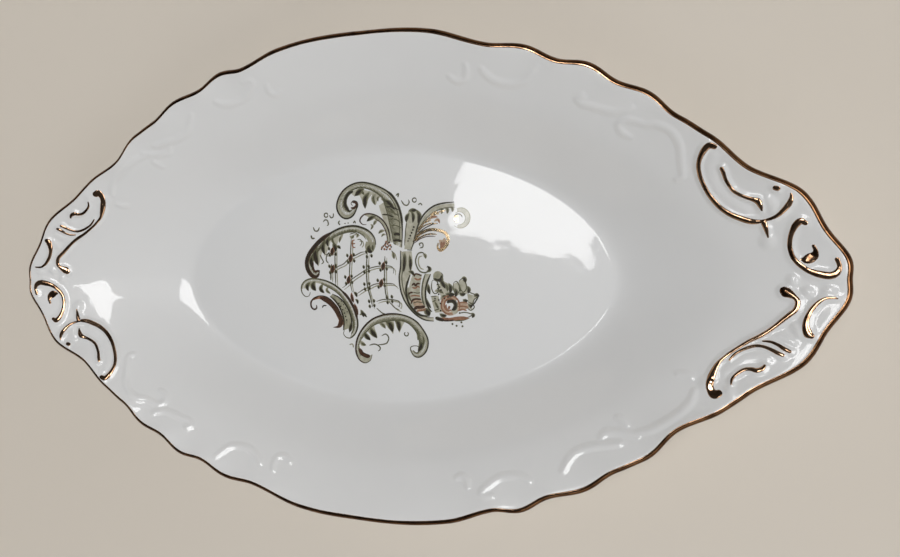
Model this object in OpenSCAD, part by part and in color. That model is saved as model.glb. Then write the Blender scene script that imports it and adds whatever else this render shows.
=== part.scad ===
// Gravy boat underplate: a pointed oval porcelain dish on a low foot ring, with a scalloped
// gilded rim, gilded scrolls in relief at both ends and a scrollwork print on the floor.
// Millimetres. The foot ring stands on z = 0, the length runs along X, and the whole
// design repeats after half a turn about Z.

/* [Plate] */
// Length over the two tips
plate_length = 230; // [200:1:270]
// Width across the middle
plate_width = 129; // [114:1:150]
// Height from the table to the top of the rim
plate_height = 24; // [20:0.5:32]
// Power of the oval outline: 2 is an ellipse, less is more pointed
oval_power = 1.6; // [1.5:0.05:2]
// Depth of the scallops, as a multiple of the drawn edge
scallop_depth = 1; // [0:0.1:1.2]

/* [Shell] */
// Length of the flat floor
floor_length = 128; // [110:1:136]
// Width of the flat floor
floor_width = 70; // [64:1:76]
// Thickness of the floor
floor_thickness = 4; // [3:0.1:5]
// Thickness of the wall
wall_thickness = 3.4; // [2.6:0.1:4]
// Thickness of the lip
lip_thickness = 2.4; // [1.8:0.1:3]
// Softness of the bend from floor to wall, as a share of the wall's run
wall_bend = 0.12; // [0.06:0.01:0.25]
// How far the wall flattens out towards the rim
rim_flare = 0.45; // [0:0.05:0.6]

/* [Foot ring] */
// Height of the foot ring below the floor
foot_height = 3.5; // [2:0.1:5]
// Distance from the edge of the flat floor in to the foot ring
foot_inset = 4; // [2:0.5:8]
// Width of the face that the foot ring rests on
foot_rim = 3.2; // [2:0.1:5]

/* [Relief and gilding] */
// Height of the moulded scrolls above the wall
relief_height = 0.7; // [0.4:0.1:1.5]
// Width of the slope on each side of a moulded scroll
relief_flank = 0.4; // [0.3:0.1:1]
// Bare porcelain left on a moulded scroll on each side of its gilding
relief_margin = 0.15; // [0:0.05:0.4]
// Thickness of the gilding
gilt_thickness = 0.15; // [0.1:0.05:0.3]
// Width of the gilded band inside the crest of the rim
rim_band = 1; // [0.6:0.1:1.4]
// Diameter of the gilded dot between the loop and the rim
dot_diameter = 1.4; // [0.8:0.1:1.6]

/* [Print] */
// Thickness of the printed layer
print_thickness = 0.1; // [0.05:0.05:0.2]
// Width of the trellis lines
trellis_line = 0.4; // [0.2:0.05:0.6]
// Diameter of a floret on the trellis
floret_diameter = 1.7; // [1:0.1:2]
// Spread of the ink beyond the drawn strokes
ink_spread = 0.04; // [0.02:0.01:0.1]

/* [Hidden] */

// Turning points of the scalloped edge over half a turn: angle, and offset from the oval
rim_waves = [
    [0, -0.3], [6, 0.4], [13.5, -0.8], [21.5, 0.6], [29, -3.4], [36, -2], [40.5, -1.6],
    [46.5, 0.7], [49.5, 0.1], [54.5, 1.9], [58, 0.4], [62.5, 1.6], [67.5, 0.1],
    [76, 1.5], [89, 0.6], [106, 1.9], [112.5, 0.7], [116, 2.3], [120.5, 0.7],
    [124.5, 1.6], [130, -0.3], [133.5, -0.4], [141, -3.7], [146.5, -2.3], [150.5, -2.3],
    [159, 0.9], [166, -0.3], [173, 0.5], [180, -0.3]
];
// Largest step between two columns of the shell, in degrees
column_step = 2.3;
// Power by which the scallops fade down the wall
scallop_fade = 5;
// Power of the floor and foot ring ovals
floor_power = 1.85;
// Columns of the scalloped edge for each column of the plain shell below it
column_group = 3;
// Levels of the wall, as shares of its run from the floor to the crest of the rim
upper_levels = [0, 0.05, 0.11, 0.2, 0.42, 0.68];
edge_level = 0.88;
under_edge_level = 0.92;
under_levels = [0.66, 0.36, 0.13, 0];
// Draft of the foot ring's sides
foot_draft = 0.4;
// How deep the moulded scrolls are rooted in the wall
relief_root = 1;
// Distance from the crest of the rim over which the moulded scrolls rise to full height
relief_rise = 4;
// How far a round bead stays below the crest of its scroll
bead_drop = 0.1;
// Spline pieces between two drawn points
relief_steps = 2;
brush_steps = 4;

lip_radius = lip_thickness / 2;
edge = lip_radius + gilt_thickness;
half_length = plate_length / 2 - edge;
half_width = plate_width / 2 - edge;
crest = plate_height - gilt_thickness;
floor_top = foot_height + floor_thickness;
depth = crest - floor_top;

// Gilded scrolls of one end, drawn as points of angle, inset from the rim's edge and width.
// Upper ornament: a long loop from the rim, its inner leaf and tail, and a C-scroll with a curl
upper_scrolls = [
    [[34.3, 3.4, 0.9], [34.2, 5.3, 1.4], [33, 7.6, 1.1], [31, 10.6, 1], [28.4, 13, 1],
        [25.7, 15, 1], [22.8, 16.2, 1.1], [20.2, 16, 1.2], [18.4, 14.7, 1.3],
        [17.4, 13, 1.2], [17.2, 11.4, 0.7], [17.6, 9.4, 0.7], [18.4, 7.3, 0.9],
        [19.6, 5.3, 1.1], [20.8, 3.9, 0.9], [22, 3.3, 0.4]],
    [[29.9, 6.1, 0.9], [28.4, 7.5, 0.9], [26.4, 9.4, 0.8], [24.8, 10.4, 0.8], [23.2, 10.1, 0.8],
        [22.2, 9.2, 1.1], [21.2, 9.1, 1.3], [19.8, 9.8, 0.5]],
    [[15.8, 11.6, 1.1], [15, 11.9, 0.9], [13.9, 12.3, 0.7], [12.8, 12.7, 0.4]],
    [[15.6, 4.2, 1], [16, 5, 1.4], [14.7, 6.8, 1.2], [12.3, 8.8, 1], [9.6, 10.2, 1],
        [6.8, 10.4, 1], [4.4, 9.4, 1.1], [2.6, 7.5, 1.3], [1.7, 5.4, 1.4], [2.6, 3.9, 1.2],
        [4.4, 3.4, 0.9], [6, 3.4, 0.5]],
    [[10, 5.7, 0.7], [8.5, 6, 1.1], [7.2, 7.2, 1.6], [6.8, 8.4, 1]]
];
upper_dot = [23.7, 3.7];
// Lower ornament: a long S-scroll with two leaves, an inner leaf and a small C-scroll
lower_scrolls = [
    [[-5, 12.6, 2], [-5.7, 11.7, 1.9], [-6.6, 10.5, 1.2], [-8, 9.4, 1.1], [-10, 9, 1.1],
        [-12.2, 9.6, 1], [-14.8, 10.5, 0.9], [-17.2, 11.6, 0.9], [-19.4, 12.9, 0.8],
        [-21.6, 13.6, 0.8], [-24.4, 13.7, 0.8], [-26.6, 12.5, 1.3], [-28.6, 10.9, 1.6],
        [-30.2, 9.2, 1.7], [-31.2, 7.4, 1.8], [-31.2, 6, 1.8]],
    [[-23.6, 12.1, 0.4], [-22.2, 12.1, 0.6], [-20.8, 11.7, 0.7], [-19.9, 10.6, 0.7],
        [-19.8, 9, 0.7], [-20.3, 7, 0.8], [-20.8, 5.1, 0.6]],
    [[-18.4, 10, 0.4], [-18.4, 8.8, 0.7], [-18.8, 7.2, 0.8], [-19.4, 5.4, 0.7]],
    [[-28.6, 6, 0.5], [-27.4, 7.3, 0.7], [-26, 7.8, 0.8], [-25, 7.1, 0.9],
        [-24.9, 5.9, 1], [-24.4, 5.4, 1.1], [-23.7, 5.6, 0.8]],
    [[-6.6, 3.2, 0.5], [-6.6, 4, 0.6], [-7, 5, 0.7], [-8.6, 5.9, 0.9], [-10.6, 6.1, 1],
        [-12.8, 5.5, 1.2], [-14.4, 4.6, 1.5], [-15.4, 3.8, 1.8], [-15.4, 3.4, 1.2]]
];

// Scrolls that end in a round bead: number of the scroll, and whether the bead is at its start
upper_beads = [[0, false], [1, true], [3, true], [4, true]];
lower_beads = [[0, true], [0, false], [3, false], [4, false]];

// Printed strokes on the floor, drawn as points of x, y and width
print_scroll_strokes = [
    [[5.6, 8, 1.2], [5.2, 13, 2.2], [4, 18, 3], [1.3, 22.5, 3.2], [-2.8, 25.5, 2.8],
        [-7.5, 26.3, 2.4], [-11.6, 24, 2.4], [-13, 20.8, 2.2], [-11.6, 18.3, 1.8],
        [-9.2, 18.3, 1.3], [-8.5, 20.3, 1.2], [-9.8, 21.4, 0.8]],
    [[1.8, 10, 1], [1.4, 13, 1.4], [-0.2, 16, 1.4], [-2.8, 17.5, 1.2], [-5.4, 17.2, 1],
        [-6.4, 16, 0.8], [-5.4, 15.4, 0.6]],
    [[-3.6, 8.4, 1.6], [-3.6, 11.2, 2], [-6, 13.6, 2.2], [-10.5, 14.2, 2.2],
        [-15.5, 12.6, 2.4], [-20, 9.2, 2.6], [-23, 5.2, 2.4], [-23.6, 2, 1.8],
        [-22, 0.8, 1.2], [-20.8, 1.8, 0.8]],
    [[-24.6, -4.6, 0.7], [-26, -3.8, 0.9], [-25.6, -2, 1.2], [-22.5, -1.2, 1.8],
        [-17.5, -2.8, 2.6], [-13, -6.4, 3.2], [-10.6, -11, 3.2], [-10.4, -15, 2.4],
        [-11.4, -17, 1.2]],
    [[-4.8, -22.4, 0.8], [-6, -23.8, 0.9], [-8, -22.8, 1.4], [-8, -19, 1.8],
        [-6.4, -15.4, 2], [-3, -12.4, 2.2], [2.4, -11.2, 2.2], [7.6, -12.2, 2.2],
        [11.4, -15.4, 2.2], [12.4, -19, 1.8], [11.4, -21.6, 1.2], [9.4, -21.8, 0.9],
        [8.6, -20.4, 0.7]],
    [[5.4, 6.8, 1], [5, 2, 1], [5.2, -3, 1.2], [6.6, -7.6, 1.4], [9.6, -11, 1.2], [13, -12.4, 0.6]],
    [[12.8, 9, 0.5], [11, 8, 0.8], [10.3, 5.5, 1], [10.6, 3, 0.9], [12.4, 1.8, 0.8], [13.8, 2.8, 0.5]]
];
trellis_strokes = [
    [[-15.6, 9], [-15.4, 4], [-15.6, 0]],
    [[-10.2, 11.5], [-10.4, 5], [-10.8, -1], [-10, -4]],
    [[-5.2, 8], [-5.4, 2], [-5.4, -4], [-4, -9]],
    [[0.4, 8], [0.2, 3], [0.4, -3], [1.6, -7], [3.6, -9]],
    [[-17, 2.4], [-13.4, 4], [-10.4, 5.6], [-5.2, 7.4]],
    [[-14, -1.6], [-10.4, -0.2], [-5.4, 2.4], [0.2, 3.2], [3.8, 1.6]],
    [[-8.6, -4.6], [-5.4, -2.6], [0.2, -1.6], [4, -2.6]],
    [[-6.6, -8.6], [-4.6, -7.2], [1.4, -6.2], [4, -7.6]]
];
floret_places = [
    [-15.5, 7.6], [-15.4, 3.2], [-10.2, 9.8], [-10.4, 5.6], [-10.7, -0.3], [-5.4, 2.4],
    [-5.4, -2.6], [0.2, 3.2], [0.2, -1.6], [-4.6, -7.2], [1.4, -6.2]
];
plume_strokes = [
    [[9.4, 9, 1], [10.8, 13.4, 1.6], [14, 17, 1.8], [18.4, 19.4, 1.8], [22.6, 19.4, 1.6],
        [25.2, 17.4, 1.4], [24.8, 15, 1.1], [22.8, 14.6, 0.8], [22, 16, 0.6]],
    [[10.6, 9.2, 0.9], [12.4, 11.2, 1.4], [15.6, 12.2, 1.6], [18.4, 11.2, 1.5],
        [18.8, 9.2, 1.2], [17.6, 8.4, 0.8], [17, 9.6, 0.5]],
    [[7.4, 8, 0.6], [7.8, 12, 1.4], [8, 16, 1.6], [9.2, 18.6, 1], [10.6, 18, 0.5]]
];
crescent_stroke = [
    [-22, -8.6, 0.5], [-22.8, -7.4, 0.7], [-21.4, -6, 1], [-18.4, -6.6, 1.4],
    [-15.4, -9.4, 1.6], [-14.2, -12, 1.6], [-14.8, -14, 1], [-16, -14.4, 0.5]
];
basket_strokes = [
    [[8.2, 0.4, 1.2], [10.6, 0.2, 1.2]],
    [[8, -1.8, 1.2], [11.2, -2, 1.2]],
    [[8.2, -4, 1.2], [11.8, -4.2, 1.2]],
    [[9, -6.2, 1.2], [12.6, -6.4, 1.2]],
    [[10.4, -8.6, 1.4], [13.6, -8.8, 1.4]]
];
rose_centre = [20, -8];
rose_radius = 2.6;
rose_petals = 5;
petal_radius = 1.3;
petal_offset = 2.1;
leaf_length = 4.4;
leaf_width = 2;
leaf_angles = [-20, 20, 60, 100, 140];

// Outline and wall

function unit(v) = v / norm(v);
function signed_power(v, e) = sign(v) * pow(abs(v), e);
function oval(half_x, half_y, power, a) =
    [half_x * signed_power(cos(a), 2 / power), half_y * signed_power(sin(a), 2 / power)];
function ease(u) = (1 - cos(180 * u)) / 2;

function wave_index(a, i = 0) = a < rim_waves[i + 1][0] ? i : wave_index(a, i + 1);
function scallop(a) =
    let (half = ((a % 180) + 180) % 180,
        i = wave_index(half),
        p = rim_waves[i],
        q = rim_waves[i + 1])
    scallop_depth * (p[1] + (q[1] - p[1]) * ease((half - p[0]) / (q[0] - p[0])));

function rim_oval(a) = oval(half_length, half_width, oval_power, a);
function floor_oval(a, inset = 0) =
    oval(floor_length / 2 - inset, floor_width / 2 - inset, floor_power, a);
function wall_run(a) = rim_oval(a) - floor_oval(a);
function outward(a) = let (d = rim_oval(a + 0.5) - rim_oval(a - 0.5)) unit([d[1], -d[0]]);

// Share of the depth that the wall has climbed at share t of its run
function bend(t) = sqrt(t * t + wall_bend * wall_bend) - wall_bend;
function climb(t) = let (h = bend(t) / bend(1)) h * (1 + rim_flare * (1 - h));
function climb_rate(t) = (climb(t + 0.01) - climb(t - 0.01)) / 0.02;

function wall_plan(a, t) =
    floor_oval(a) + t * wall_run(a) + scallop(a) * pow(t, scallop_fade) * unit(rim_oval(a));
function wall_point(a, t) = concat(wall_plan(a, t), floor_top + depth * climb(t));
function wall_slope(a, t) = atan(depth * climb_rate(t) / (wall_run(a) * outward(a)));
function under_point(a, t) =
    let (s = wall_slope(a, t), out = wall_plan(a, t) + wall_thickness * sin(s) * outward(a))
    concat(out, floor_top + depth * climb(t) - wall_thickness * cos(s));
function wall_normal(a, t) =
    unit(cross(wall_point(a, t + 0.01) - wall_point(a, t - 0.01),
        wall_point(a + 0.4, t) - wall_point(a - 0.4, t)));

// Share of the wall's run at an inset from the rim's edge
function level_at(a, inset) = 1 - (inset - edge) / norm(wall_run(a));

// Section of the lip from the inner edge of the gilded band over the crest to the outside
function lip_point(a, out, down) =
    concat(wall_plan(a, 1) + out * outward(a), crest - down);
function lip_section(a, skin = 0) =
    let (r = lip_radius, s = r + skin)
    [
        wall_point(a, level_at(a, edge + rim_band)) + [0, 0, skin],
        lip_point(a, 0, -skin),
        lip_point(a, s * sin(45), r - s * cos(45)),
        lip_point(a, s, r)
    ];
function lip_underside(a) = lip_point(a, lip_radius * 0.6, lip_radius * 1.8);

// Columns of the shell: the turning points of the edge, with even steps between them
function columns() = [
    for (turn = [0, 180])
        for (i = [0 : len(rim_waves) - 2])
            let (from = rim_waves[i][0],
                span = rim_waves[i + 1][0] - from,
                steps = max(2, ceil(span / column_step)))
            for (k = [0 : steps - 1]) turn + from + span * k / steps
];
edge_angles = columns();
edge_count = len(edge_angles);
shell_angles = [for (i = [0 : column_group : edge_count - 1]) edge_angles[i]];
shell_count = len(shell_angles);

// Triangles between two rings of n points
function ring_faces(first, second, n) = [
    for (i = [0 : n - 1])
        let (j = (i + 1) % n)
        each [[first + i, first + j, second + j], [first + i, second + j, second + i]]
];
// Triangles through a run of rings of n points
function band_faces(first, rings, n) =
    [for (r = [0 : rings - 2]) each ring_faces(first + r * n, first + (r + 1) * n, n)];
// Triangles between a ring of shell columns and a ring of edge columns, seen from the shell
function stitch_faces(shell, edge_ring) = [
    for (i = [0 : edge_count - 1])
        [shell + floor(i / column_group), edge_ring + (i + 1) % edge_count, edge_ring + i],
    for (i = [0 : shell_count - 1])
        let (j = (i + 1) % shell_count)
        [shell + i, shell + j, edge_ring + j * column_group]
];
function flipped(faces) = [for (f = faces) [f[2], f[1], f[0]]];
function flat_ring(inset, z) = [for (a = shell_angles) concat(floor_oval(a, inset), z)];

// Splines and swept strokes

function spline_point(p, i, u) =
    let (n = len(p) - 1, a = p[max(i - 1, 0)], b = p[i], c = p[i + 1], d = p[min(i + 2, n)])
    (2 * b + (c - a) * u + (2 * a - 5 * b + 4 * c - d) * u * u
        + (3 * b - a - 3 * c + d) * u * u * u) / 2;
function spline(p, steps) = [
    for (i = [0 : len(p) - 2], k = [0 : steps - 1]) spline_point(p, i, k / steps),
    p[len(p) - 1]
];
function tangent(line, i) = unit(line[min(i + 1, len(line) - 1)] - line[max(i - 1, 0)]);

function relief_at(inset) = relief_height * min(1, (inset - edge) / relief_rise);

// Frame of each point along a scroll on the wall: place, side, normal, width and height
function scroll_frames(drawn) =
    let (line = spline(drawn, relief_steps),
        places = [for (p = line) wall_point(p[0], level_at(p[0], p[1]))])
    [
        for (i = [0 : len(line) - 1])
            let (up = wall_normal(line[i][0], level_at(line[i][0], line[i][1])))
            [places[i], unit(cross(up, tangent(places, i))), up, line[i][2], relief_at(line[i][1])]
    ];
function at(frame, side, up) = frame[0] + side * frame[1] + up * frame[2];

// Solid swept through sections that each hold the same number of points
module sweep(sections) {
    n = len(sections[0]);
    last = (len(sections) - 1) * n;
    sides = [
        for (s = [0 : len(sections) - 2])
            each ring_faces((s + 1) * n, s * n, n)
    ];
    start_cap = [for (i = [1 : n - 2]) [0, i, i + 1]];
    end_cap = [for (i = [1 : n - 2]) [last, last + i + 1, last + i]];
    polyhedron([for (s = sections) each s], concat(start_cap, sides, end_cap));
}

module moulded_scroll(drawn) {
    sections = [
        for (f = scroll_frames(drawn))
            let (half = f[3] / 2 + relief_margin)
            [
                at(f, half + relief_flank, -relief_root), at(f, half, f[4]),
                at(f, -half, f[4]), at(f, -half - relief_flank, -relief_root)
            ]
    ];
    sweep(sections);
}

module gilt_scroll(drawn) {
    sweep([
        for (f = scroll_frames(drawn))
            let (half = f[3] / 2)
            [at(f, half, f[4]), at(f, 0, f[4] + gilt_thickness), at(f, -half, f[4])]
    ]);
}

// Places a child on the wall with its z axis along the wall's normal
module on_wall(a, inset) {
    t = level_at(a, inset);
    up = wall_normal(a, t);
    side = unit(cross([0, 1, 0], up));
    ahead = cross(up, side);
    p = wall_point(a, t);
    multmatrix([
        [side[0], ahead[0], up[0], p[0]],
        [side[1], ahead[1], up[1], p[1]],
        [side[2], ahead[2], up[2], p[2]]
    ]) children();
}

// Moulded bead with a flat top, for gilding of the given diameter
module bead(a, inset, diameter) {
    top = diameter + 2 * relief_margin;
    on_wall(a, inset) hull() {
        translate([0, 0, -relief_root]) cylinder(d = top + 2 * relief_flank, h = 0.1, $fn = 8);
        cylinder(d = top, h = relief_at(inset) - bead_drop, $fn = 8);
    }
}

module end_bead(drawn, at_start) {
    p = at_start ? drawn[0] : drawn[len(drawn) - 1];
    bead(p[0], p[1], p[2]);
}

module end_relief() {
    for (s = concat(upper_scrolls, lower_scrolls)) moulded_scroll(s);
    for (b = upper_beads) end_bead(upper_scrolls[b[0]], b[1]);
    for (b = lower_beads) end_bead(lower_scrolls[b[0]], b[1]);
    bead(upper_dot[0], upper_dot[1], dot_diameter);
}

// Printed strokes

module brush(drawn) {
    line = spline(drawn, brush_steps);
    plan = [for (p = line) [p[0], p[1]]];
    side = [for (i = [0 : len(line) - 1]) let (t = tangent(plan, i)) [-t[1], t[0]] * line[i][2] / 2];
    polygon(concat(plan + side, [for (i = [len(line) - 1 : -1 : 0]) plan[i] - side[i]]));
}

module print_layer() {
    translate([0, 0, floor_top])
        linear_extrude(print_thickness)
            offset(delta = ink_spread)
                children();
}

module leaf() {
    polygon([
        for (i = [0 : 8]) [leaf_length * i / 8, leaf_width / 2 * sin(180 * i / 8)],
        for (i = [7 : -1 : 1]) [leaf_length * i / 8, -leaf_width / 2 * sin(180 * i / 8)]
    ]);
}

// Sub-parts

module porcelain_body() {
    upper = [for (t = upper_levels) [for (a = shell_angles) wall_point(a, t)]];
    rim = concat(
        [[for (a = edge_angles) wall_point(a, edge_level)]],
        [for (k = [0 : 3]) [for (a = edge_angles) lip_section(a)[k]]],
        [[for (a = edge_angles) lip_underside(a)]],
        [[for (a = edge_angles) under_point(a, under_edge_level)]]
    );
    under = concat(
        [for (t = under_levels) [for (a = shell_angles) under_point(a, t)]],
        [
            flat_ring(foot_inset - foot_draft, foot_height),
            flat_ring(foot_inset, 0),
            flat_ring(foot_inset + foot_rim, 0),
            flat_ring(foot_inset + foot_rim + foot_draft, foot_height)
        ]
    );
    rim_start = len(upper) * shell_count;
    under_start = rim_start + len(rim) * edge_count;
    floor_centre = under_start + len(under) * shell_count;
    base_centre = floor_centre + 1;
    last_ring = floor_centre - shell_count;
    faces = concat(
        [for (i = [0 : shell_count - 1]) [floor_centre, (i + 1) % shell_count, i]],
        band_faces(0, len(upper), shell_count),
        stitch_faces(rim_start - shell_count, rim_start),
        band_faces(rim_start, len(rim), edge_count),
        flipped(stitch_faces(under_start, under_start - edge_count)),
        band_faces(under_start, len(under), shell_count),
        [for (i = [0 : shell_count - 1]) [last_ring + i, last_ring + (i + 1) % shell_count, base_centre]]
    );
    points = [for (r = concat(upper, rim, under)) each r, [0, 0, floor_top], [0, 0, foot_height]];
    color("whitesmoke") union() {
        polyhedron(points, faces);
        for (turn = [0, 180]) rotate(turn) end_relief();
    }
}

module rim_gilding() {
    sections = [
        for (a = edge_angles)
            concat(lip_section(a, gilt_thickness), [for (k = [3 : -1 : 0]) lip_section(a)[k]])
    ];
    n = len(sections[0]);
    faces = [
        for (i = [0 : edge_count - 1])
            let (next = (i + 1) % edge_count)
            each ring_faces(next * n, i * n, n)
    ];
    color("goldenrod") polyhedron([for (s = sections) each s], faces);
}

module upper_gilding() {
    for (s = upper_scrolls) gilt_scroll(s);
    on_wall(upper_dot[0], upper_dot[1])
        translate([0, 0, relief_at(upper_dot[1]) - bead_drop])
            cylinder(d = dot_diameter, h = gilt_thickness, $fn = 10);
}

module lower_gilding() {
    for (s = lower_scrolls) gilt_scroll(s);
}

module right_upper_gilding() {
    color("goldenrod") upper_gilding();
}

module right_lower_gilding() {
    color("goldenrod") lower_gilding();
}

module left_lower_gilding() {
    color("goldenrod") rotate(180) upper_gilding();
}

module left_upper_gilding() {
    color("goldenrod") rotate(180) lower_gilding();
}

module print_scrolls() {
    color("darkolivegreen") print_layer() for (s = print_scroll_strokes) brush(s);
}

module print_trellis() {
    color("olivedrab") print_layer() {
        for (s = trellis_strokes) brush([for (p = s) concat(p, trellis_line)]);
        for (p = floret_places) translate(p) circle(d = floret_diameter, $fn = 10);
    }
}

module print_plumes() {
    color("darkgoldenrod") print_layer() for (s = plume_strokes) brush(s);
}

module print_crescent() {
    color("saddlebrown") print_layer() brush(crescent_stroke);
}

module print_basket() {
    color("sienna") print_layer() for (s = basket_strokes) brush(s);
}

module print_bouquet() {
    color("peru") print_layer() translate(rose_centre) {
        circle(rose_radius, $fn = 24);
        for (k = [0 : rose_petals - 1])
            rotate(k * 360 / rose_petals)
                translate([petal_offset, 0]) circle(petal_radius, $fn = 16);
        for (a = leaf_angles) rotate(a) translate([rose_radius, 0]) leaf();
    }
}

porcelain_body();
rim_gilding();
right_upper_gilding();
right_lower_gilding();
left_lower_gilding();
left_upper_gilding();
print_scrolls();
print_trellis();
print_plumes();
print_crescent();
print_basket();
print_bouquet();
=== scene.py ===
"""Looks of the gravy boat underplate: a scalloped porcelain dish with gilded relief and a printed floor.

Lengths are in millimetres until a mesh is made, and then in metres. Angles of the outline are in degrees.
"""

import math

import bpy
import numpy as np
from mathutils import Matrix, Vector


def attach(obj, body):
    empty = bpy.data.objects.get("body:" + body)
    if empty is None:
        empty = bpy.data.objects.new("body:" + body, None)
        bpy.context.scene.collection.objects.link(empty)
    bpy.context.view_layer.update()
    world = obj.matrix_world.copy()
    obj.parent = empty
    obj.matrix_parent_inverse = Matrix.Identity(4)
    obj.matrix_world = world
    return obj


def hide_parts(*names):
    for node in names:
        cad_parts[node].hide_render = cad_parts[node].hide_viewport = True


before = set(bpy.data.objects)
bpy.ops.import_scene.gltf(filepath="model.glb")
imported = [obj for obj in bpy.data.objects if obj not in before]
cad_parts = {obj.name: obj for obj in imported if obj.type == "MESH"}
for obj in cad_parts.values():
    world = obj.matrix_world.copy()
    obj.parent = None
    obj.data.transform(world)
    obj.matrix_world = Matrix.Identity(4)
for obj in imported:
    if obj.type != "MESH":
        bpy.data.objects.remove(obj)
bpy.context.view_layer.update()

METRE = 1000.0

# Sizes of the dish
PLATE_LENGTH = 230.0
PLATE_WIDTH = 129.0
PLATE_HEIGHT = 24.0
OVAL_POWER = 1.6
FLOOR_LENGTH = 128.0
FLOOR_WIDTH = 70.0
FLOOR_POWER = 1.85
FLOOR_THICKNESS = 4.0
WALL_THICKNESS = 3.4
LIP_RADIUS = 1.1
FOOT_HEIGHT = 3.5
GILT_THICKNESS = 0.15

# Wall as a share of its way from floor to rim: bend at the floor, knee half way, roll into the lip
WALL_BEND = 0.1
KNEE_LEVEL = 0.56
KNEE_ROUND = 0.09
KNEE_SHARE = 0.405
RIM_ROLL = 0.0073
RIM_ROLL_POWER = 105

# Powers by which the scallops of the edge fade down the wall
DENT_FADE = 5
BULGE_FADE = 9

# Small steps for the directions of edge and wall
EDGE_NUDGE = 0.5
ANGLE_NUDGE = 0.4
LEVEL_NUDGE = 0.01

EDGE = LIP_RADIUS + GILT_THICKNESS
HALF_LENGTH = PLATE_LENGTH / 2 - EDGE
HALF_WIDTH = PLATE_WIDTH / 2 - EDGE
CREST = PLATE_HEIGHT - GILT_THICKNESS
FLOOR_TOP = FOOT_HEIGHT + FLOOR_THICKNESS
DEPTH = CREST - FLOOR_TOP
HALF_TURN = np.array([-1.0, -1.0, 1.0])

# Turning points of the scalloped edge over half a turn: angle, and offset from the oval
RIM_WAVES = [
    [0, -0.3], [6, 0.4], [13.5, -0.8], [21.5, 0.6], [29, -3.4], [36, -2], [40.5, -1.6],
    [46.5, 0.7], [49.5, 0.1], [54.5, 1.9], [58, 0.4], [62.5, 1.6], [67.5, 0.1],
    [76, 1.5], [89, 0.6], [106, 1.9], [112.5, 0.7], [116, 2.3], [120.5, 0.7],
    [124.5, 1.6], [130, -0.3], [133.5, -0.4], [141, -3.7], [146.5, -2.3], [150.5, -2.3],
    [159, 0.9], [166, -0.3], [173, 0.5], [180, -0.3],
]
WAVE_ANGLES, WAVE_OFFSETS = np.array(RIM_WAVES, float).T

# Gilded scrolls of the right end, as points of angle, inset from the rim's edge and width
UPPER_SCROLLS = [
    [[34, 2.4, 1.2], [34.5, 3.2, 1.5], [34, 5.3, 1.4], [33, 7.6, 1.1], [31.7, 9.7, 1],
     [29.9, 11.7, 1], [27.9, 13.4, 1], [25.7, 15, 1], [23.6, 16, 1.1], [21.7, 16.3, 1.1],
     [19.9, 15.9, 1.2], [18.6, 14.9, 1.3], [17.6, 13.7, 1.3], [17.2, 12.3, 1], [17.3, 11.2, 0.6],
     [17.6, 9.4, 0.7], [18.2, 7.7, 0.9], [19.1, 6.1, 1.1], [20.2, 4.4, 1.2], [21.2, 3.3, 0.9],
     [22.1, 2.6, 0.4]],
    [[29.9, 6.1, 0.9], [28.9, 7, 0.9], [27.7, 8.3, 0.8], [26.3, 9.5, 0.8], [25.1, 10.3, 0.8],
     [24, 10.4, 0.8], [23.1, 10, 0.8], [22.4, 9.3, 1], [21.8, 8.9, 1.4], [20.7, 9.3, 1],
     [19.7, 9.8, 0.4]],
    [[16.6, 11.4, 1.3], [15.4, 11.8, 1], [14.3, 12.2, 0.7], [13.2, 12.6, 0.4]],
    [[15.7, 3.9, 1], [16.2, 4.6, 1.5], [15.4, 6, 1.4], [13.8, 7.6, 1.1], [11.8, 9.1, 1],
     [9.8, 10.1, 1], [7.7, 10.5, 1], [5.8, 10.1, 1.1], [4, 9.1, 1.1], [2.9, 8, 1.3],
     [2, 6.4, 1.6], [1.5, 4.7, 1.6], [2.4, 3.5, 1.5], [4.2, 2.9, 1], [5.7, 2.9, 0.9],
     [6.5, 2.9, 1]],
    [[10.2, 5.5, 0.7], [8.9, 5.8, 1], [7.7, 6.6, 2], [7, 7.5, 2.4], [6.7, 8.4, 1.9],
     [6.7, 9.1, 0.7]],
    [[23.8, 3.4, 1.2], [23.6, 3.3, 1.2]],
]
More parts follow.
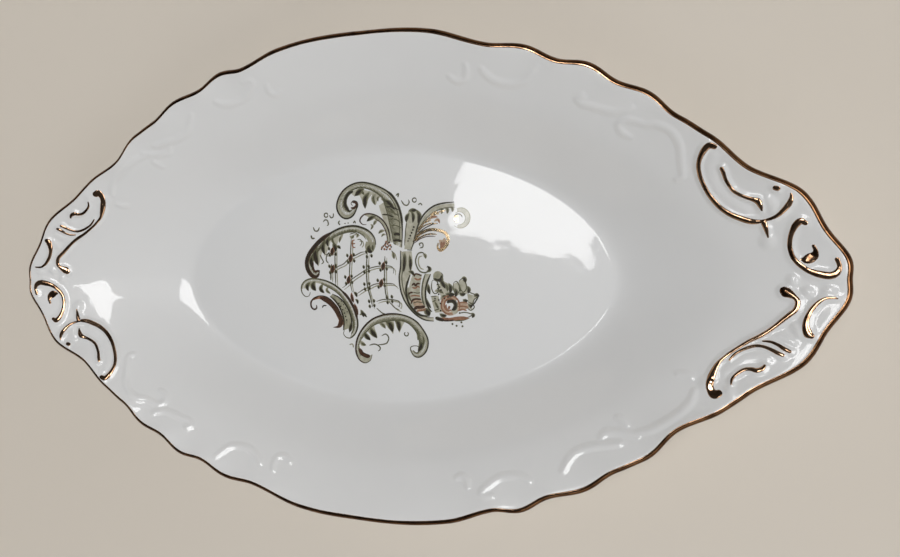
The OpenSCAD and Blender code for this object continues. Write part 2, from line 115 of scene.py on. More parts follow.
LOWER_SCROLLS = [
    [[-4.9, 12.7, 2], [-5.3, 12.3, 2.4], [-5.9, 11.4, 1.8], [-6.6, 10.5, 1.2], [-7.6, 9.6, 1.1],
     [-9, 9.1, 1.1], [-10.3, 9, 1.1], [-11.5, 9.4, 1.1], [-12.9, 9.9, 1], [-14.5, 10.4, 0.9],
     [-16, 11, 0.9], [-17.4, 11.7, 0.9], [-18.9, 12.7, 0.8], [-20.7, 13.4, 0.7],
     [-22.7, 13.8, 0.7], [-24.8, 13.6, 0.8], [-26.5, 12.6, 1.3], [-28.4, 11.1, 1.7],
     [-30, 9.5, 1.7], [-31, 7.9, 1.8], [-31.5, 6.4, 2.2], [-31.1, 5.9, 1.8]],
    [[-24, 12.4, 0.4], [-22.8, 12.7, 0.6], [-21.8, 12.6, 0.6], [-20.6, 11.9, 0.7],
     [-19.8, 10.8, 0.7], [-19.7, 9.4, 0.7], [-20.1, 7.6, 0.8], [-20.5, 6.3, 0.9],
     [-20.8, 5.1, 0.8]],
    [[-18.5, 10.4, 0.4], [-18.4, 9, 0.6], [-18.8, 7.4, 0.7], [-19.4, 5.9, 0.9], [-19.8, 4.6, 0.8]],
    [[-28.7, 6, 0.4], [-27.7, 7.2, 0.6], [-26.5, 7.8, 0.7], [-25.3, 7.8, 0.8], [-24.9, 6.9, 0.9],
     [-24.9, 5.8, 1.1], [-24.4, 5.4, 1], [-23.6, 5.8, 0.6]],
    [[-6.6, 2.9, 0.4], [-6.5, 3.6, 0.5], [-6.7, 4.8, 0.6], [-7.8, 5.7, 0.8], [-9.4, 6.1, 1],
     [-10.9, 6.1, 1], [-12.7, 5.6, 1.2], [-14.3, 4.7, 1.6], [-15.5, 3.7, 1.9], [-15.9, 2.9, 1.3]],
]

# Round mounds that carry the comma and the foot of the long scroll on their slopes
SLOPE_RIDGES = [
    [[5.5, 8.6, 2.4], [5.1, 8.8, 2.4]],
    [[-29.7, 10.5, 2.2], [-30, 10.3, 2.2]],
]

# Ridges under the gilding. The comma and the foot of the long scroll have none of their own.
LOW_RIDGES = [UPPER_SCROLLS[3]] + SLOPE_RIDGES
HIGH_RIDGES = UPPER_SCROLLS[:3] + UPPER_SCROLLS[5:] + [LOWER_SCROLLS[0][:18]] + LOWER_SCROLLS[1:]

# White moulded scrolls from the right end up to the middle of both sides
PLAIN_SCROLLS = [
    [[71.6, 9.2, 0.8], [70.3, 10, 1], [69.1, 9.3, 1], [69, 7.4, 1], [69.4, 6, 0.6]],
    [[66.8, 6.4, 1], [65.7, 7.6, 1.3], [64, 8.5, 1.4], [62.2, 8.5, 1.4], [60.6, 7.4, 1.3],
     [60, 5.5, 1.1], [59.7, 3.5, 0.7]],
    [[52, 6.9, 1.7], [52.2, 7.8, 1.3], [51.1, 8.4, 1.2], [50.1, 8.2, 1.2], [48.5, 8, 1.4],
     [46.9, 7.6, 1.4], [46, 6.1, 1.2], [45.9, 5.1, 0.7]],
    [[42.1, 11.9, 0.6], [43.4, 11.7, 1.2], [44.7, 10.4, 1.3], [44.9, 8.5, 1.2], [43.9, 7.7, 0.9],
     [42.5, 7, 0.9], [41.6, 5.7, 1.1], [40.4, 5.2, 1.2], [38.7, 5.7, 1.2], [36.6, 7.6, 1.2],
     [34.6, 10.2, 1.2], [32.5, 12.8, 1.2], [30.7, 15, 1], [30.4, 16.8, 0.6]],
    [[-60.8, 5.2, 0.9], [-61.6, 6.5, 1.4], [-63, 7.3, 1.4], [-64.8, 7.3, 1.4], [-66.6, 6.2, 1.4],
     [-68, 4.9, 1.1], [-67.7, 3.9, 0.9], [-66.6, 3.8, 0.6]],
    [[-69.9, 6.6, 0.8], [-69.8, 8, 1.1], [-70.5, 9.1, 1.1], [-71.5, 8.9, 0.6]],
    [[-55.8, 5.5, 1], [-54.1, 7.4, 1.5], [-52.3, 8.6, 1.5], [-50.2, 8.6, 1.5], [-48.4, 7.8, 1.4],
     [-46.7, 6.8, 0.9]],
    [[-44, 6.4, 0.7], [-44.6, 8.4, 1.2], [-45.5, 9.9, 1.2], [-46.8, 10.7, 1.5], [-47.8, 10, 0.8]],
    [[-43.4, 10.5, 0.7], [-43.2, 12, 1.2], [-43.2, 13.4, 0.7]],
    [[-32.2, 10.3, 0.8], [-34.3, 8.2, 1.5], [-37.1, 6.3, 1.5], [-39.5, 5.5, 1.5], [-41.8, 5.9, 1.4],
     [-43.5, 7.3, 0.7]],
    [[-29.7, 14.3, 0.9], [-29.5, 15.7, 1.2], [-29.9, 17.1, 0.8]],
]

# Small white beads between the gilded scrolls of the right end
BEADS = [
    [[12.3, 13.3, 2.2], [12, 13.4, 2.2]],
    [[-0.6, 11.6, 1], [-1.9, 11.6, 1]],
    [[-5, 8.5, 0.9], [-5.2, 8.2, 0.9]],
    [[-4.6, 4.8, 1], [-4.6, 4.4, 1]],
    [[-14.2, 6.8, 0.7], [-15, 5.8, 0.9], [-15.9, 5, 0.6]],
    [[-17, 9.8, 0.6], [-17, 8.1, 0.8], [-17.4, 6.6, 0.7], [-17.8, 5.3, 0.5]],
    [[-29.8, 4.9, 1.1], [-30.3, 3.9, 1.1]],
    [[21.6, 7.2, 1.4], [20.4, 7.4, 1.7], [19.5, 7.9, 1.4]],
]

# Broad cushions inside the two large loops of the right end
CUSHIONS = [
    [[32.5, 5.2, 1.4], [31, 8, 2], [29, 10.3, 2], [26.5, 12.3, 2], [24, 13.4, 2], [21.8, 13.5, 1.8],
     [20.2, 12.8, 1.2]],
    [[-26.6, 10.4, 1.2], [-24.5, 10.6, 1.8], [-22.8, 10.4, 1.8], [-21.8, 8.8, 1.6], [-22, 7, 1.2]],
]

# Moulded strokes, each kind with the height and the skirt of its ridge
RELIEF_KINDS = [
    (HIGH_RIDGES, 0.55, 1.1),
    (PLAIN_SCROLLS, 0.26, 0.8),
    (LOW_RIDGES + BEADS, 0.36, 1.2),
    (CUSHIONS, 0.25, 1.4),
]
RELIEF_RISE = 4.0
RELIEF_BLEND = 4
RELIEF_BATCH = 2000
THIN_STROKE = 1.1
THIN_SHARE = 0.45
SCROLL_STEPS = 10
CAP_STEPS = 4
CAP_TIP = 0.02


# Outline and wall

def signed_power(v, e):
    return np.sign(v) * np.abs(v) ** e


def unit(v):
    return v / np.linalg.norm(v, axis=-1, keepdims=True)


def oval(half_x, half_y, power, a):
    r = np.radians(a)
    x = half_x * signed_power(np.cos(r), 2 / power)
    y = half_y * signed_power(np.sin(r), 2 / power)
    return np.stack([x, y], -1)


def scallop(a):
    half = np.mod(a, 180)
    i = np.searchsorted(WAVE_ANGLES, half, side="right") - 1
    i = np.clip(i, 0, len(WAVE_ANGLES) - 2)
    u = (half - WAVE_ANGLES[i]) / (WAVE_ANGLES[i + 1] - WAVE_ANGLES[i])
    ease = (1 - np.cos(np.pi * u)) / 2
    return WAVE_OFFSETS[i] + (WAVE_OFFSETS[i + 1] - WAVE_OFFSETS[i]) * ease


def rim_oval(a):
    return oval(HALF_LENGTH, HALF_WIDTH, OVAL_POWER, a)


def floor_oval(a, inset=0.0):
    return oval(FLOOR_LENGTH / 2 - inset, FLOOR_WIDTH / 2 - inset, FLOOR_POWER, a)


def outward(a):
    d = rim_oval(a + EDGE_NUDGE) - rim_oval(a - EDGE_NUDGE)
    return unit(np.stack([d[..., 1], -d[..., 0]], -1))


def bend(t):
    return np.sqrt(t * t + WALL_BEND * WALL_BEND) - WALL_BEND


def knee(t):
    return (t - KNEE_LEVEL + np.sqrt((t - KNEE_LEVEL) ** 2 + KNEE_ROUND * KNEE_ROUND)) / 2


def wall_rise(t):
    return bend(t) - KNEE_SHARE * (knee(t) - knee(0.0))


def climb(t):
    """Share of the depth that the wall has risen at a share t of its way."""
    return (wall_rise(t) / wall_rise(1.0) - RIM_ROLL * t ** RIM_ROLL_POWER) / (1 - RIM_ROLL)


def wall_plan(a, t):
    run = rim_oval(a) - floor_oval(a)
    wave = scallop(a)
    fade = wave * t ** np.where(wave > 0, BULGE_FADE, DENT_FADE)
    return floor_oval(a) + t[..., None] * run + fade[..., None] * unit(rim_oval(a))


def with_height(plan, z):
    return np.concatenate([plan, np.broadcast_to(z, plan.shape[:-1])[..., None]], -1)


def matched(a, t):
    return np.broadcast_arrays(np.asarray(a, float), np.asarray(t, float))


def wall_point(a, t):
    a, t = matched(a, t)
    return with_height(wall_plan(a, t), FLOOR_TOP + DEPTH * climb(t))


def wall_normal(a, t):
    a, t = matched(a, t)
    along = wall_point(a, t + LEVEL_NUDGE) - wall_point(a, t - LEVEL_NUDGE)
    across = wall_point(a + ANGLE_NUDGE, t) - wall_point(a - ANGLE_NUDGE, t)
    return unit(np.cross(along, across))


def level_at(a, inset):
    """Share of the way up the wall at an inset from the rim's edge."""
    run = np.linalg.norm(rim_oval(a) - floor_oval(a), axis=-1)
    return 1 - (inset - EDGE) / run


def under_point(a, t):
    """Point under the wall, one wall thickness away from it."""
    a, t = matched(a, t)
    rate = (climb(t + LEVEL_NUDGE) - climb(t - LEVEL_NUDGE)) / (2 * LEVEL_NUDGE)
    run = np.sum((rim_oval(a) - floor_oval(a)) * outward(a), axis=-1)
    slope = np.arctan(DEPTH * rate / run)
    plan = wall_plan(a, t) + (WALL_THICKNESS * np.sin(slope))[..., None] * outward(a)
    return with_height(plan, FLOOR_TOP + DEPTH * climb(t) - WALL_THICKNESS * np.cos(slope))


def lip_point(a, out, down):
    return with_height(wall_plan(a, np.ones_like(a)) + out * outward(a), CREST - down)


# Strokes

def spline(points, steps):
    p = np.array(points, float)
    n = len(p) - 1
    rows = []
    for i in range(n):
        a, b, c, d = p[max(i - 1, 0)], p[i], p[i + 1], p[min(i + 2, n)]
        for k in range(steps):
            u = k / steps
            bow = (2 * a - 5 * b + 4 * c - d) * u * u + (3 * b - a - 3 * c + d) * u ** 3
            rows.append((2 * b + (c - a) * u + bow) / 2)
    rows.append(p[n])
    return np.array(rows)


def tangents(line):
    ahead = np.vstack([line[1:], line[-1:]])
    behind = np.vstack([line[:1], line[:-1]])
    return unit(ahead - behind)


def rounded_ends(line):
    """Adds a half-round end to a line of points whose last column is the width."""
    place, width = line[:, :-1], line[:, -1]
    heading = tangents(place)
    angles = np.radians(np.linspace(90, 0, CAP_STEPS, endpoint=False))[:, None]
    start = place[0] - heading[0] * np.sin(angles) * width[0] / 2
    end = place[-1] + heading[-1] * np.sin(angles[::-1]) * width[-1] / 2
    start = np.hstack([start, np.maximum(width[0] * np.cos(angles), CAP_TIP)])
    end = np.hstack([end, np.maximum(width[-1] * np.cos(angles[::-1]), CAP_TIP)])
    return np.vstack([start, line, end])


class Scroll:
    """Moulded ridge along a stroke on the wall of the right end."""

    def __init__(self, drawn, height, skirt):
        angle, inset, width = spline(drawn, SCROLL_STEPS).T
        self.place = wall_point(angle, level_at(angle, inset))
        rise = np.clip((inset - EDGE) / RELIEF_RISE, 0, 1)
        slim = np.clip(width / THIN_STROKE, 0, 1)
        self.height = height * rise * (THIN_SHARE + (1 - THIN_SHARE) * slim)
        self.reach = width / 2 + skirt

    def ridge(self, points):
        """Height of the ridge above the wall at each point."""
        gap = np.linalg.norm(points[:, None, :] - self.place[None], axis=-1)
        share = np.clip(1 - (gap / self.reach) ** 2, 0, 1)
        return np.max(self.height * share * share, axis=1)


MOULDED = [
    Scroll(drawn, height, skirt)
    for strokes, height, skirt in RELIEF_KINDS
    for drawn in strokes
]


def relief(points):
    """Height of all moulded scrolls above the wall. The left end is the right end after half a turn."""
    folded = np.where(points[:, :1] < 0, points * HALF_TURN, points)
    total = np.zeros(len(points))
    for scroll in MOULDED:
        low = scroll.place.min(axis=0) - scroll.reach.max()
        high = scroll.place.max(axis=0) + scroll.reach.max()
        near = np.nonzero(np.all((folded > low) & (folded < high), axis=1))[0]
        for part in np.array_split(near, max(1, len(near) // RELIEF_BATCH)):
            total[part] += scroll.ridge(folded[part]) ** RELIEF_BLEND
    return total ** (1 / RELIEF_BLEND)


# Meshes

def new_piece(name, points, faces, materials, face_materials=None, smooth=True):
    mesh = bpy.data.meshes.new(name)
    mesh.from_pydata((np.asarray(points) / METRE).tolist(), [], faces)
    for material in materials:
        mesh.materials.append(material)
    if face_materials is not None:
        mesh.polygons.foreach_set("material_index", face_materials)
    mesh.polygons.foreach_set("use_smooth", [smooth] * len(mesh.polygons))
    mesh.validate()
    mesh.update()
    piece = bpy.data.objects.new(name, mesh)
    bpy.context.scene.collection.objects.link(piece)
    return piece


def dress(piece, slot, *nodes):
    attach(piece, "root")
    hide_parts(*nodes)


def ring_faces(first, second, n):
    return [
        (first + i, second + i, second + (i + 1) % n, first + (i + 1) % n)
        for i in range(n)
    ]


def tube_faces(rows, n, closed):
    """Faces of a tube of sections with n points each, with end caps where it is open."""
    faces = []
    for r in range(rows if closed else rows - 1):
        faces += ring_faces(((r + 1) % rows) * n, r * n, n)
    if not closed:
        faces.append(tuple(reversed(range(n))))
        faces.append(tuple((rows - 1) * n + i for i in range(n)))
    return faces


# Materials

def grey(v):
    return (v, v, v)


def ramp(tree, source, into, *stops):
    """Colour ramp between two sockets, with stops of position and colour."""
    node = tree.nodes.new("ShaderNodeValToRGB")
    elements = node.color_ramp.elements
    while len(elements) < len(stops):
        elements.new(0.5)
    for element, (position, colour) in zip(elements, stops):
        element.position = position
        element.color = (*colour, 1)
    tree.links.new(source, node.inputs["Fac"])
    tree.links.new(node.outputs["Color"], into)


class Paint:
    """A material of noise, colour ramps and bump on the object's own coordinates."""

    def __init__(self, name):
        self.material = bpy.data.materials.new(name)
        self.material.use_nodes = True
        self.tree = self.material.node_tree
        self.inputs = self.tree.nodes["Principled BSDF"].inputs
        self.coords = self.tree.nodes.new("ShaderNodeTexCoord")

    def noise(self, scale, detail, roughness=0.5):
        node = self.tree.nodes.new("ShaderNodeTexNoise")
        node.inputs["Scale"].default_value = scale
        node.inputs["Detail"].default_value = detail
        node.inputs["Roughness"].default_value = roughness
        self.tree.links.new(self.coords.outputs["Object"], node.inputs["Vector"])
        return node.outputs["Fac"]

    def ramp(self, source, socket, *stops):
        ramp(self.tree, source, self.inputs[socket], *stops)

    def bump(self, source, socket, strength, distance):
        node = self.tree.nodes.new("ShaderNodeBump")
        node.inputs["Strength"].default_value = strength
        node.inputs["Distance"].default_value = distance
        self.tree.links.new(source, node.inputs["Height"])
        self.tree.links.new(node.outputs["Normal"], self.inputs[socket])


def glazed(name, light, dark, scale):
    """Glazed ceramic: body colour that varies softly under a clear gloss coat."""
    paint = Paint(name)
    paint.ramp(paint.noise(scale, detail=3.0), "Base Color", (0.35, dark), (0.65, light))
    fine = paint.noise(scale=900.0, detail=3.0)
    paint.ramp(fine, "Roughness", (0.3, grey(0.3)), (0.7, grey(0.4)))
    paint.inputs["Coat Weight"].default_value = 1.0
    paint.inputs["Coat Roughness"].default_value = 0.04
    paint.inputs["Coat IOR"].default_value = 1.44
    paint.inputs["Specular IOR Level"].default_value = 0.25
    ripple = paint.noise(scale=110.0, detail=2.0)
    paint.bump(ripple, "Coat Normal", strength=0.12, distance=0.0006)
    return paint.material


def bare_clay(name):
    paint = Paint(name)
    grain = paint.noise(scale=1500.0, detail=4.0)
    paint.ramp(grain, "Base Color", (0.3, (0.56, 0.53, 0.48)), (0.7, (0.7, 0.67, 0.62)))
    paint.inputs["Roughness"].default_value = 0.85
    paint.bump(grain, "Normal", strength=0.4, distance=0.0001)
    return paint.material


def fired_gold(name, bright, worn):
    paint = Paint(name)
    cloud = paint.noise(scale=260.0, detail=4.0, roughness=0.6)
    paint.ramp(cloud, "Base Color", (0.35, worn), (0.6, bright))
    paint.ramp(cloud, "Roughness", (0.3, grey(0.15)), (0.65, grey(0.07)))
    paint.inputs["Metallic"].default_value = 1.0
    strokes = paint.noise(scale=1400.0, detail=2.0)
    paint.bump(strokes, "Normal", strength=0.15, distance=0.00005)
    return paint.material


PORCELAIN = glazed("porcelain_glaze", (0.755, 0.763, 0.768), (0.737, 0.745, 0.749), 28.0)
BARE = bare_clay("bare_clay")
# The rim's gold is a darker copy of the scroll gold, a painted shade: it keeps the rim dark where it would
# reflect the bright stage and the key lamp.
SHADED_RIM_GOLD = fired_gold("rim_gold_painted_shade", (0.17, 0.085, 0.039), (0.06, 0.028, 0.013))
SCROLL_GOLD = fired_gold("scroll_gold", (0.58, 0.37, 0.23), (0.095, 0.048, 0.024))


# Porcelain body. Columns of points run over the lip, close together at the moulded ends.

END_ANGLE = 37.0
END_BLEND = 8.0
END_STEP = 0.32
SIDE_STEP = 0.5
TRIAL_ANGLES = 20001
FLOOR_MARGIN = 0.6
BEND_LEVEL = 0.2
RELIEF_LEVEL = 0.6
WALL_LEVELS = np.concatenate([
    np.linspace(0, BEND_LEVEL, 15, endpoint=False),
    np.linspace(BEND_LEVEL, RELIEF_LEVEL, 22, endpoint=False),
    np.linspace(RELIEF_LEVEL, 0.985, 54),
])
LIP_TURNS = np.linspace(0, 150, 11)
UNDER_LEVELS = np.concatenate([
    np.linspace(0.95, BEND_LEVEL, 14, endpoint=False),
    np.linspace(BEND_LEVEL, 0, 8),
])

# Rings of the foot from outside to inside, as inset from the floor's edge and height
FOOT_OUT = 4.0
FOOT_WIDTH = 3.2
FOOT_IN = FOOT_OUT + FOOT_WIDTH
FOOT_ROUND = 0.5
FOOT_CHAMFER = 0.15
FOOT_DRAFT = 0.1
FOOT_FILLET = 0.4
FOOT_MARGIN = 1.0
FOOT_RINGS = [
    (FOOT_OUT - FOOT_FILLET, FOOT_HEIGHT),
    (FOOT_OUT - FOOT_DRAFT, FOOT_ROUND),
    (FOOT_OUT + FOOT_CHAMFER, FOOT_CHAMFER),
    (FOOT_OUT + FOOT_ROUND, 0),
    (FOOT_IN - FOOT_ROUND, 0),
    (FOOT_IN - FOOT_CHAMFER, FOOT_CHAMFER),
    (FOOT_IN + FOOT_DRAFT, FOOT_ROUND),
    (FOOT_IN + FOOT_FILLET, FOOT_HEIGHT),
    (FOOT_IN + FOOT_MARGIN, FOOT_HEIGHT),
]

# Steps between those rings that rest on the table, without glaze
UNGLAZED = (2, 3, 4)


def column_angles():
    """Angles of the columns over half a turn."""
    a = np.linspace(-90, 90, TRIAL_ANGLES)
    path = wall_plan(a, np.ones_like(a))
    length = np.linalg.norm(np.diff(path, axis=0), axis=1)
    middle = (a[1:] + a[:-1]) / 2
    blend = np.clip((np.abs(middle) - END_ANGLE) / END_BLEND, 0, 1)
    step = END_STEP + (SIDE_STEP - END_STEP) * blend
    count = np.concatenate([[0], np.cumsum(length / step)])
    columns = int(round(count[-1]))
    return np.interp(np.arange(columns) * count[-1] / columns, count, a)


HALF_ANGLES = column_angles()
ANGLES = np.concatenate([HALF_ANGLES, HALF_ANGLES + 180])
COLUMNS = len(ANGLES)


def flat_ring(inset, z):
    return with_height(floor_oval(ANGLES, inset), z)


def porcelain_body():
    rows = [flat_ring(FLOOR_MARGIN, FLOOR_TOP)]
    for t in WALL_LEVELS:
        point = wall_point(ANGLES, t)
        if t > BEND_LEVEL:
            point = point + wall_normal(ANGLES, t) * relief(point)[:, None]
        rows.append(point)
    for turn in LIP_TURNS:
        rise = math.radians(turn)
        rows.append(lip_point(ANGLES, LIP_RADIUS * math.sin(rise), LIP_RADIUS * (1 - math.cos(rise))))
    rows += [under_point(ANGLES, t) for t in UNDER_LEVELS]
    foot_start = len(rows)
    rows += [flat_ring(inset, z) for inset, z in FOOT_RINGS]
    points = np.vstack(rows + [[[0, 0, FLOOR_TOP]], [[0, 0, FOOT_HEIGHT]]])
    faces = []
    kinds = []
    for r in range(len(rows) - 1):
        faces += ring_faces(r * COLUMNS, (r + 1) * COLUMNS, COLUMNS)
        kinds += [int(r - foot_start in UNGLAZED)] * COLUMNS
    floor_centre = len(rows) * COLUMNS
    last = (len(rows) - 1) * COLUMNS
    for i in range(COLUMNS):
        j = (i + 1) % COLUMNS
        faces.append((floor_centre, i, j))
        faces.append((last + j, last + i, floor_centre + 1))
        kinds += [0, 0]
    piece = new_piece("porcelain_dish", points, faces, [PORCELAIN, BARE], kinds)
    dress(piece, "porcelain", "porcelain_body")


porcelain_body()


# Gilding

RIBBON_SIDES = 8
RIBBON_LIFT = 0.05
RIBBON_CROWN = 4
RIBBON_ROOT = 0.1
RIM_BAND = 0.2
RIM_BAND_ROWS = 5
# Rows of the band, from its inner edge, in the lighter scroll gold: a painted highlight along the inside of
# the crest
RIM_HIGHLIGHT_ROWS = 5
RIM_LIFT = 0.06
RIM_LIFT_RATE = 3
RIM_SKIN = 0.07
RIM_ROOT = 0.12
RIM_TURNS = np.linspace(0, 100, 8)

# Waves of the band's inner edge: size, waves in a turn and phase
RIM_WANDER = [(0.12, 7, 0.6), (0.1, 19, 2), (0.07, 43, 4)]


def ribbon_tube(drawn):
    """Gilded stroke that lies on the ridge of its scroll, as sections of a closed tube."""
    line = spline(drawn, SCROLL_STEPS)
    level = level_at(line[:, 0], line[:, 1])
    capped = rounded_ends(np.hstack([wall_point(line[:, 0], level), line[:, 2:]]))
    place, width = capped[:, :3], capped[:, 3]
    normal = wall_normal(line[:, 0], level)
    normal = np.vstack([normal[:1]] * CAP_STEPS + [normal] + [normal[-1:]] * CAP_STEPS)
    side = unit(np.cross(normal, tangents(place)))
    share = np.linspace(1, -1, RIBBON_SIDES + 1)
    top = place[:, None] + side[:, None] * (share[None, :, None] * width[:, None, None] / 2)
    height = relief(top.reshape(-1, 3)).reshape(top.shape[:2])
    lift = RIBBON_LIFT * (1 - share ** RIBBON_CROWN)[None]
    upper = top + normal[:, None] * (height + lift)[..., None]
    lower = top + normal[:, None] * (height - RIBBON_ROOT)[..., None]
    return np.concatenate([upper, lower[:, ::-1]], axis=1)


def gilded_scrolls(name, scrolls, turned, node):
    points = []
    faces = []
    for drawn in scrolls:
        sections = ribbon_tube(drawn)
        start = sum(len(p) for p in points)
        for face in tube_faces(len(sections), sections.shape[1], False):
            faces.append(tuple(start + v for v in face))
        points.append(sections.reshape(-1, 3))
    points = np.vstack(points)
    if turned:
        points = points * HALF_TURN
    dress(new_piece(name, points, faces, [SCROLL_GOLD]), "gold", node)


gilded_scrolls("gilt_right_upper", UPPER_SCROLLS, False, "right_upper_gilding")
gilded_scrolls("gilt_right_lower", LOWER_SCROLLS, False, "right_lower_gilding")
gilded_scrolls("gilt_left_lower", UPPER_SCROLLS, True, "left_lower_gilding")
gilded_scrolls("gilt_left_upper", LOWER_SCROLLS, True, "left_upper_gilding")


def gilded_rim():
    """Gold line over the lip, with the uneven inner edge of a brushed band. The rows inside its crest take
    the lighter scroll gold as a painted highlight, the rest the darker rim gold as painted shade.
    """
    turn = np.radians(ANGLES)
    wander = sum(size * np.sin(waves * turn + phase) for size, waves, phase in RIM_WANDER)
    inner = level_at(ANGLES, EDGE + RIM_BAND * (1 + wander))
    upper = []
    lower = []
    for share in np.linspace(0, 1, RIM_BAND_ROWS, endpoint=False):
        point = wall_point(ANGLES, inner + (1 - inner) * share)
        upper.append(point + [0, 0, RIM_LIFT * min(1, RIM_LIFT_RATE * share)])
        lower.append(point - [0, 0, RIM_ROOT])
    for angle in RIM_TURNS:
        a = math.radians(angle)
        for into, skin in ((upper, RIM_SKIN), (lower, -RIM_ROOT)):
            r = LIP_RADIUS + skin
            into.append(lip_point(ANGLES, r * math.sin(a), LIP_RADIUS - r * math.cos(a)))
    sections = np.stack(upper + lower[::-1], axis=1)
    sides = sections.shape[1]
    faces = tube_faces(len(sections), sides, True)
    # Inner rows get the lighter gold as a painted highlight, the outer rows the darker rim gold as painted
    # shade
    bright = [int(i % sides < RIM_HIGHLIGHT_ROWS) for i in range(len(faces))]
    piece = new_piece("gilt_rim", sections.reshape(-1, 3), faces, [SHADED_RIM_GOLD, SCROLL_GOLD], bright)
    dress(piece, "gold", "rim_gilding")


gilded_rim()


# Floor print, drawn in millimetres on the floor, as x and y of one point after the other.
# Lines, leaves and dots are an ink, a width and one or more drawn lines. Washes are an ink, two edges
# and the shares of the way between them. Hatching has a width before and a count after the edges.

def pairs(values):
    return np.array(values, float).reshape(-1, 2)


RING_STEPS = 8


def ring(x, y, r, start=0, sweep=360):
    turn = [math.radians(start + sweep * i / RING_STEPS) for i in range(RING_STEPS + 1)]
    return pairs([[x + r * math.cos(a), y + r * math.sin(a)] for a in turn])


TOP_OUTER = pairs([
    5.6, 8.5, 5.8, 11, 5.9, 14, 5.7, 17, 5.1, 19.5, 4.1, 21.7, 2.6, 23.7, 0.7, 25.1, -1.5, 26.2, -4, 27.1,
    -6.3, 27.5, -8.5, 27.3, -10.5, 26.6, -12.3, 25.4, -13.6, 23.8, -14.4, 21.9, -14.5, 20.2, -13.9, 18.7,
    -12.8, 17.6, -11.4, 17.2, -10, 17.6, -9, 18.5, -8.3, 19.8, -7.8, 21, -8.2, 22, -9.2, 22.3, -9.9, 21.6,
    -9.5, 20.9,
])
TOP_INNER = pairs([
    3.2, 9.6, 2.6, 13, 1.9, 16, 1.2, 19, 0.2, 22, -1.6, 23.9, -4, 25.2, -6.4, 25.9, -8.6, 25.6,
    -10.4, 24.7, -11.6, 23.4, -12.1, 21.9, -11.9, 20.5, -11, 19.3, -10.2, 19.6,
])
SMALL_OUTER = pairs([
    -5.2, 15.3, -6.4, 15.4, -7.2, 16.3, -6.9, 17.3, -5.8, 18.2, -4.2, 18.4, -2.5, 18, -1, 17.2, 0.3, 16,
    1.3, 14.4, 1.9, 12.6, 2.1, 10.8, 2, 9.8,
])
SMALL_INNER = pairs([-4.6, 17.4, -2.6, 16.9, -1, 16, 0, 14.8, 0.8, 13.2, 1.2, 11.6, 1.2, 10])
LEFT_OUTER = pairs([
    -2.4, 9.4, -2.6, 11, -3.4, 12.4, -4.8, 13.6, -6.8, 14.5, -9, 15, -11.5, 14.9, -14, 14.3, -16.3, 13.3,
    -18.5, 12.1, -20.5, 10.7, -22.3, 9, -23.8, 7.2, -24.7, 5.3, -24.8, 3.5, -24.2, 1.8, -23, 0.5,
    -21.6, 0.3, -20.8, 1.2, -20.7, 2.2,
])
LEFT_INNER = pairs([
    -4.8, 9.2, -5, 10.8, -6.4, 12.2, -9, 13.2, -12, 12.9, -14.8, 12, -17.4, 10.6, -19.6, 9, -21.4, 7,
    -22.6, 5, -22.9, 3.2, -22.3, 1.9, -21.2, 2.1,
])
LOW_OUTER = pairs([
    -23.9, -4.4, -24.3, -5.4, -25.4, -5.7, -26.5, -4.8, -26.9, -3.3, -26.4, -1.8, -25, -0.7, -23, -0.3,
    -20.6, -0.5, -18.2, -1.1, -15.8, -2.2, -13.6, -3.8, -11.8, -5.6, -10.3, -7.8, -9.2, -10.2,
    -8.6, -12.6, -8.7, -14.8, -9.6, -16.7, -11, -17.8, -12.4, -17.6, -13.2, -16.6, -12.9, -15.6,
])
LOW_INNER = pairs([
    -25.2, -3.2, -24.4, -2.2, -22.4, -1.6, -20, -2, -17.6, -3, -15.2, -4.4, -13, -6.6, -11.2, -9.4,
    -10.2, -12.4, -10, -14.8, -10.6, -16.2,
])
DOTTED_OUTER = pairs([-16.6, -4.9, -14.6, -5.8, -12.8, -7.4, -11.4, -9.6, -10.6, -12, -10.4, -14.6])
DOTTED_INNER = pairs([-17.3, -5.6, -15.8, -6.8, -14.4, -8.6, -13.4, -10.8, -13, -13.2, -13.2, -15.6])
BASE_OUTER = pairs([
    -4.2, -22.5, -4.8, -24.2, -6.5, -25, -8.2, -24.2, -9.2, -22.1, -9.2, -19.6, -8.4, -17.1, -6.7, -14.6,
    -4.4, -12.5, -1.9, -11.3, 1, -10.6, 4.3, -10.6, 7.3, -11.3, 9.8, -12.7, 11.6, -14.8, 12.9, -17.1,
    13.1, -19.2, 12.3, -21.3, 10.6, -22.7, 8.9, -22.5, 7.8, -20.8, 8.1, -19.8, 9.8, -19.6, 10.8, -20.4,
])
BASE_INNER = pairs([
    -7.6, -22.4, -8.2, -20, -7.3, -17.9, -5.7, -15.8, -3.6, -14, -0.7, -12.9, 2.7, -12.4, 5.4, -12.5,
    7.7, -13.5, 9.6, -15.6, 10.4, -17.9, 10.6, -20, 10.2, -21.2, 9.4, -21.5, 8.8, -21,
])
STEM_OUTER = pairs([
    5.2, 7.6, 5.2, 3.3, 4.7, 0, 5, -3.3, 6, -6.3, 7.7, -8.8, 9.8, -10.8, 12.3, -12.1, 14.9, -12.4,
])
STEM_INNER = pairs([
    6, 7.2, 5.9, 3, 5.5, 0, 5.8, -3, 6.8, -6, 8.4, -8.4, 10.4, -10.2, 12.8, -11.3, 14.9, -11.4,
])

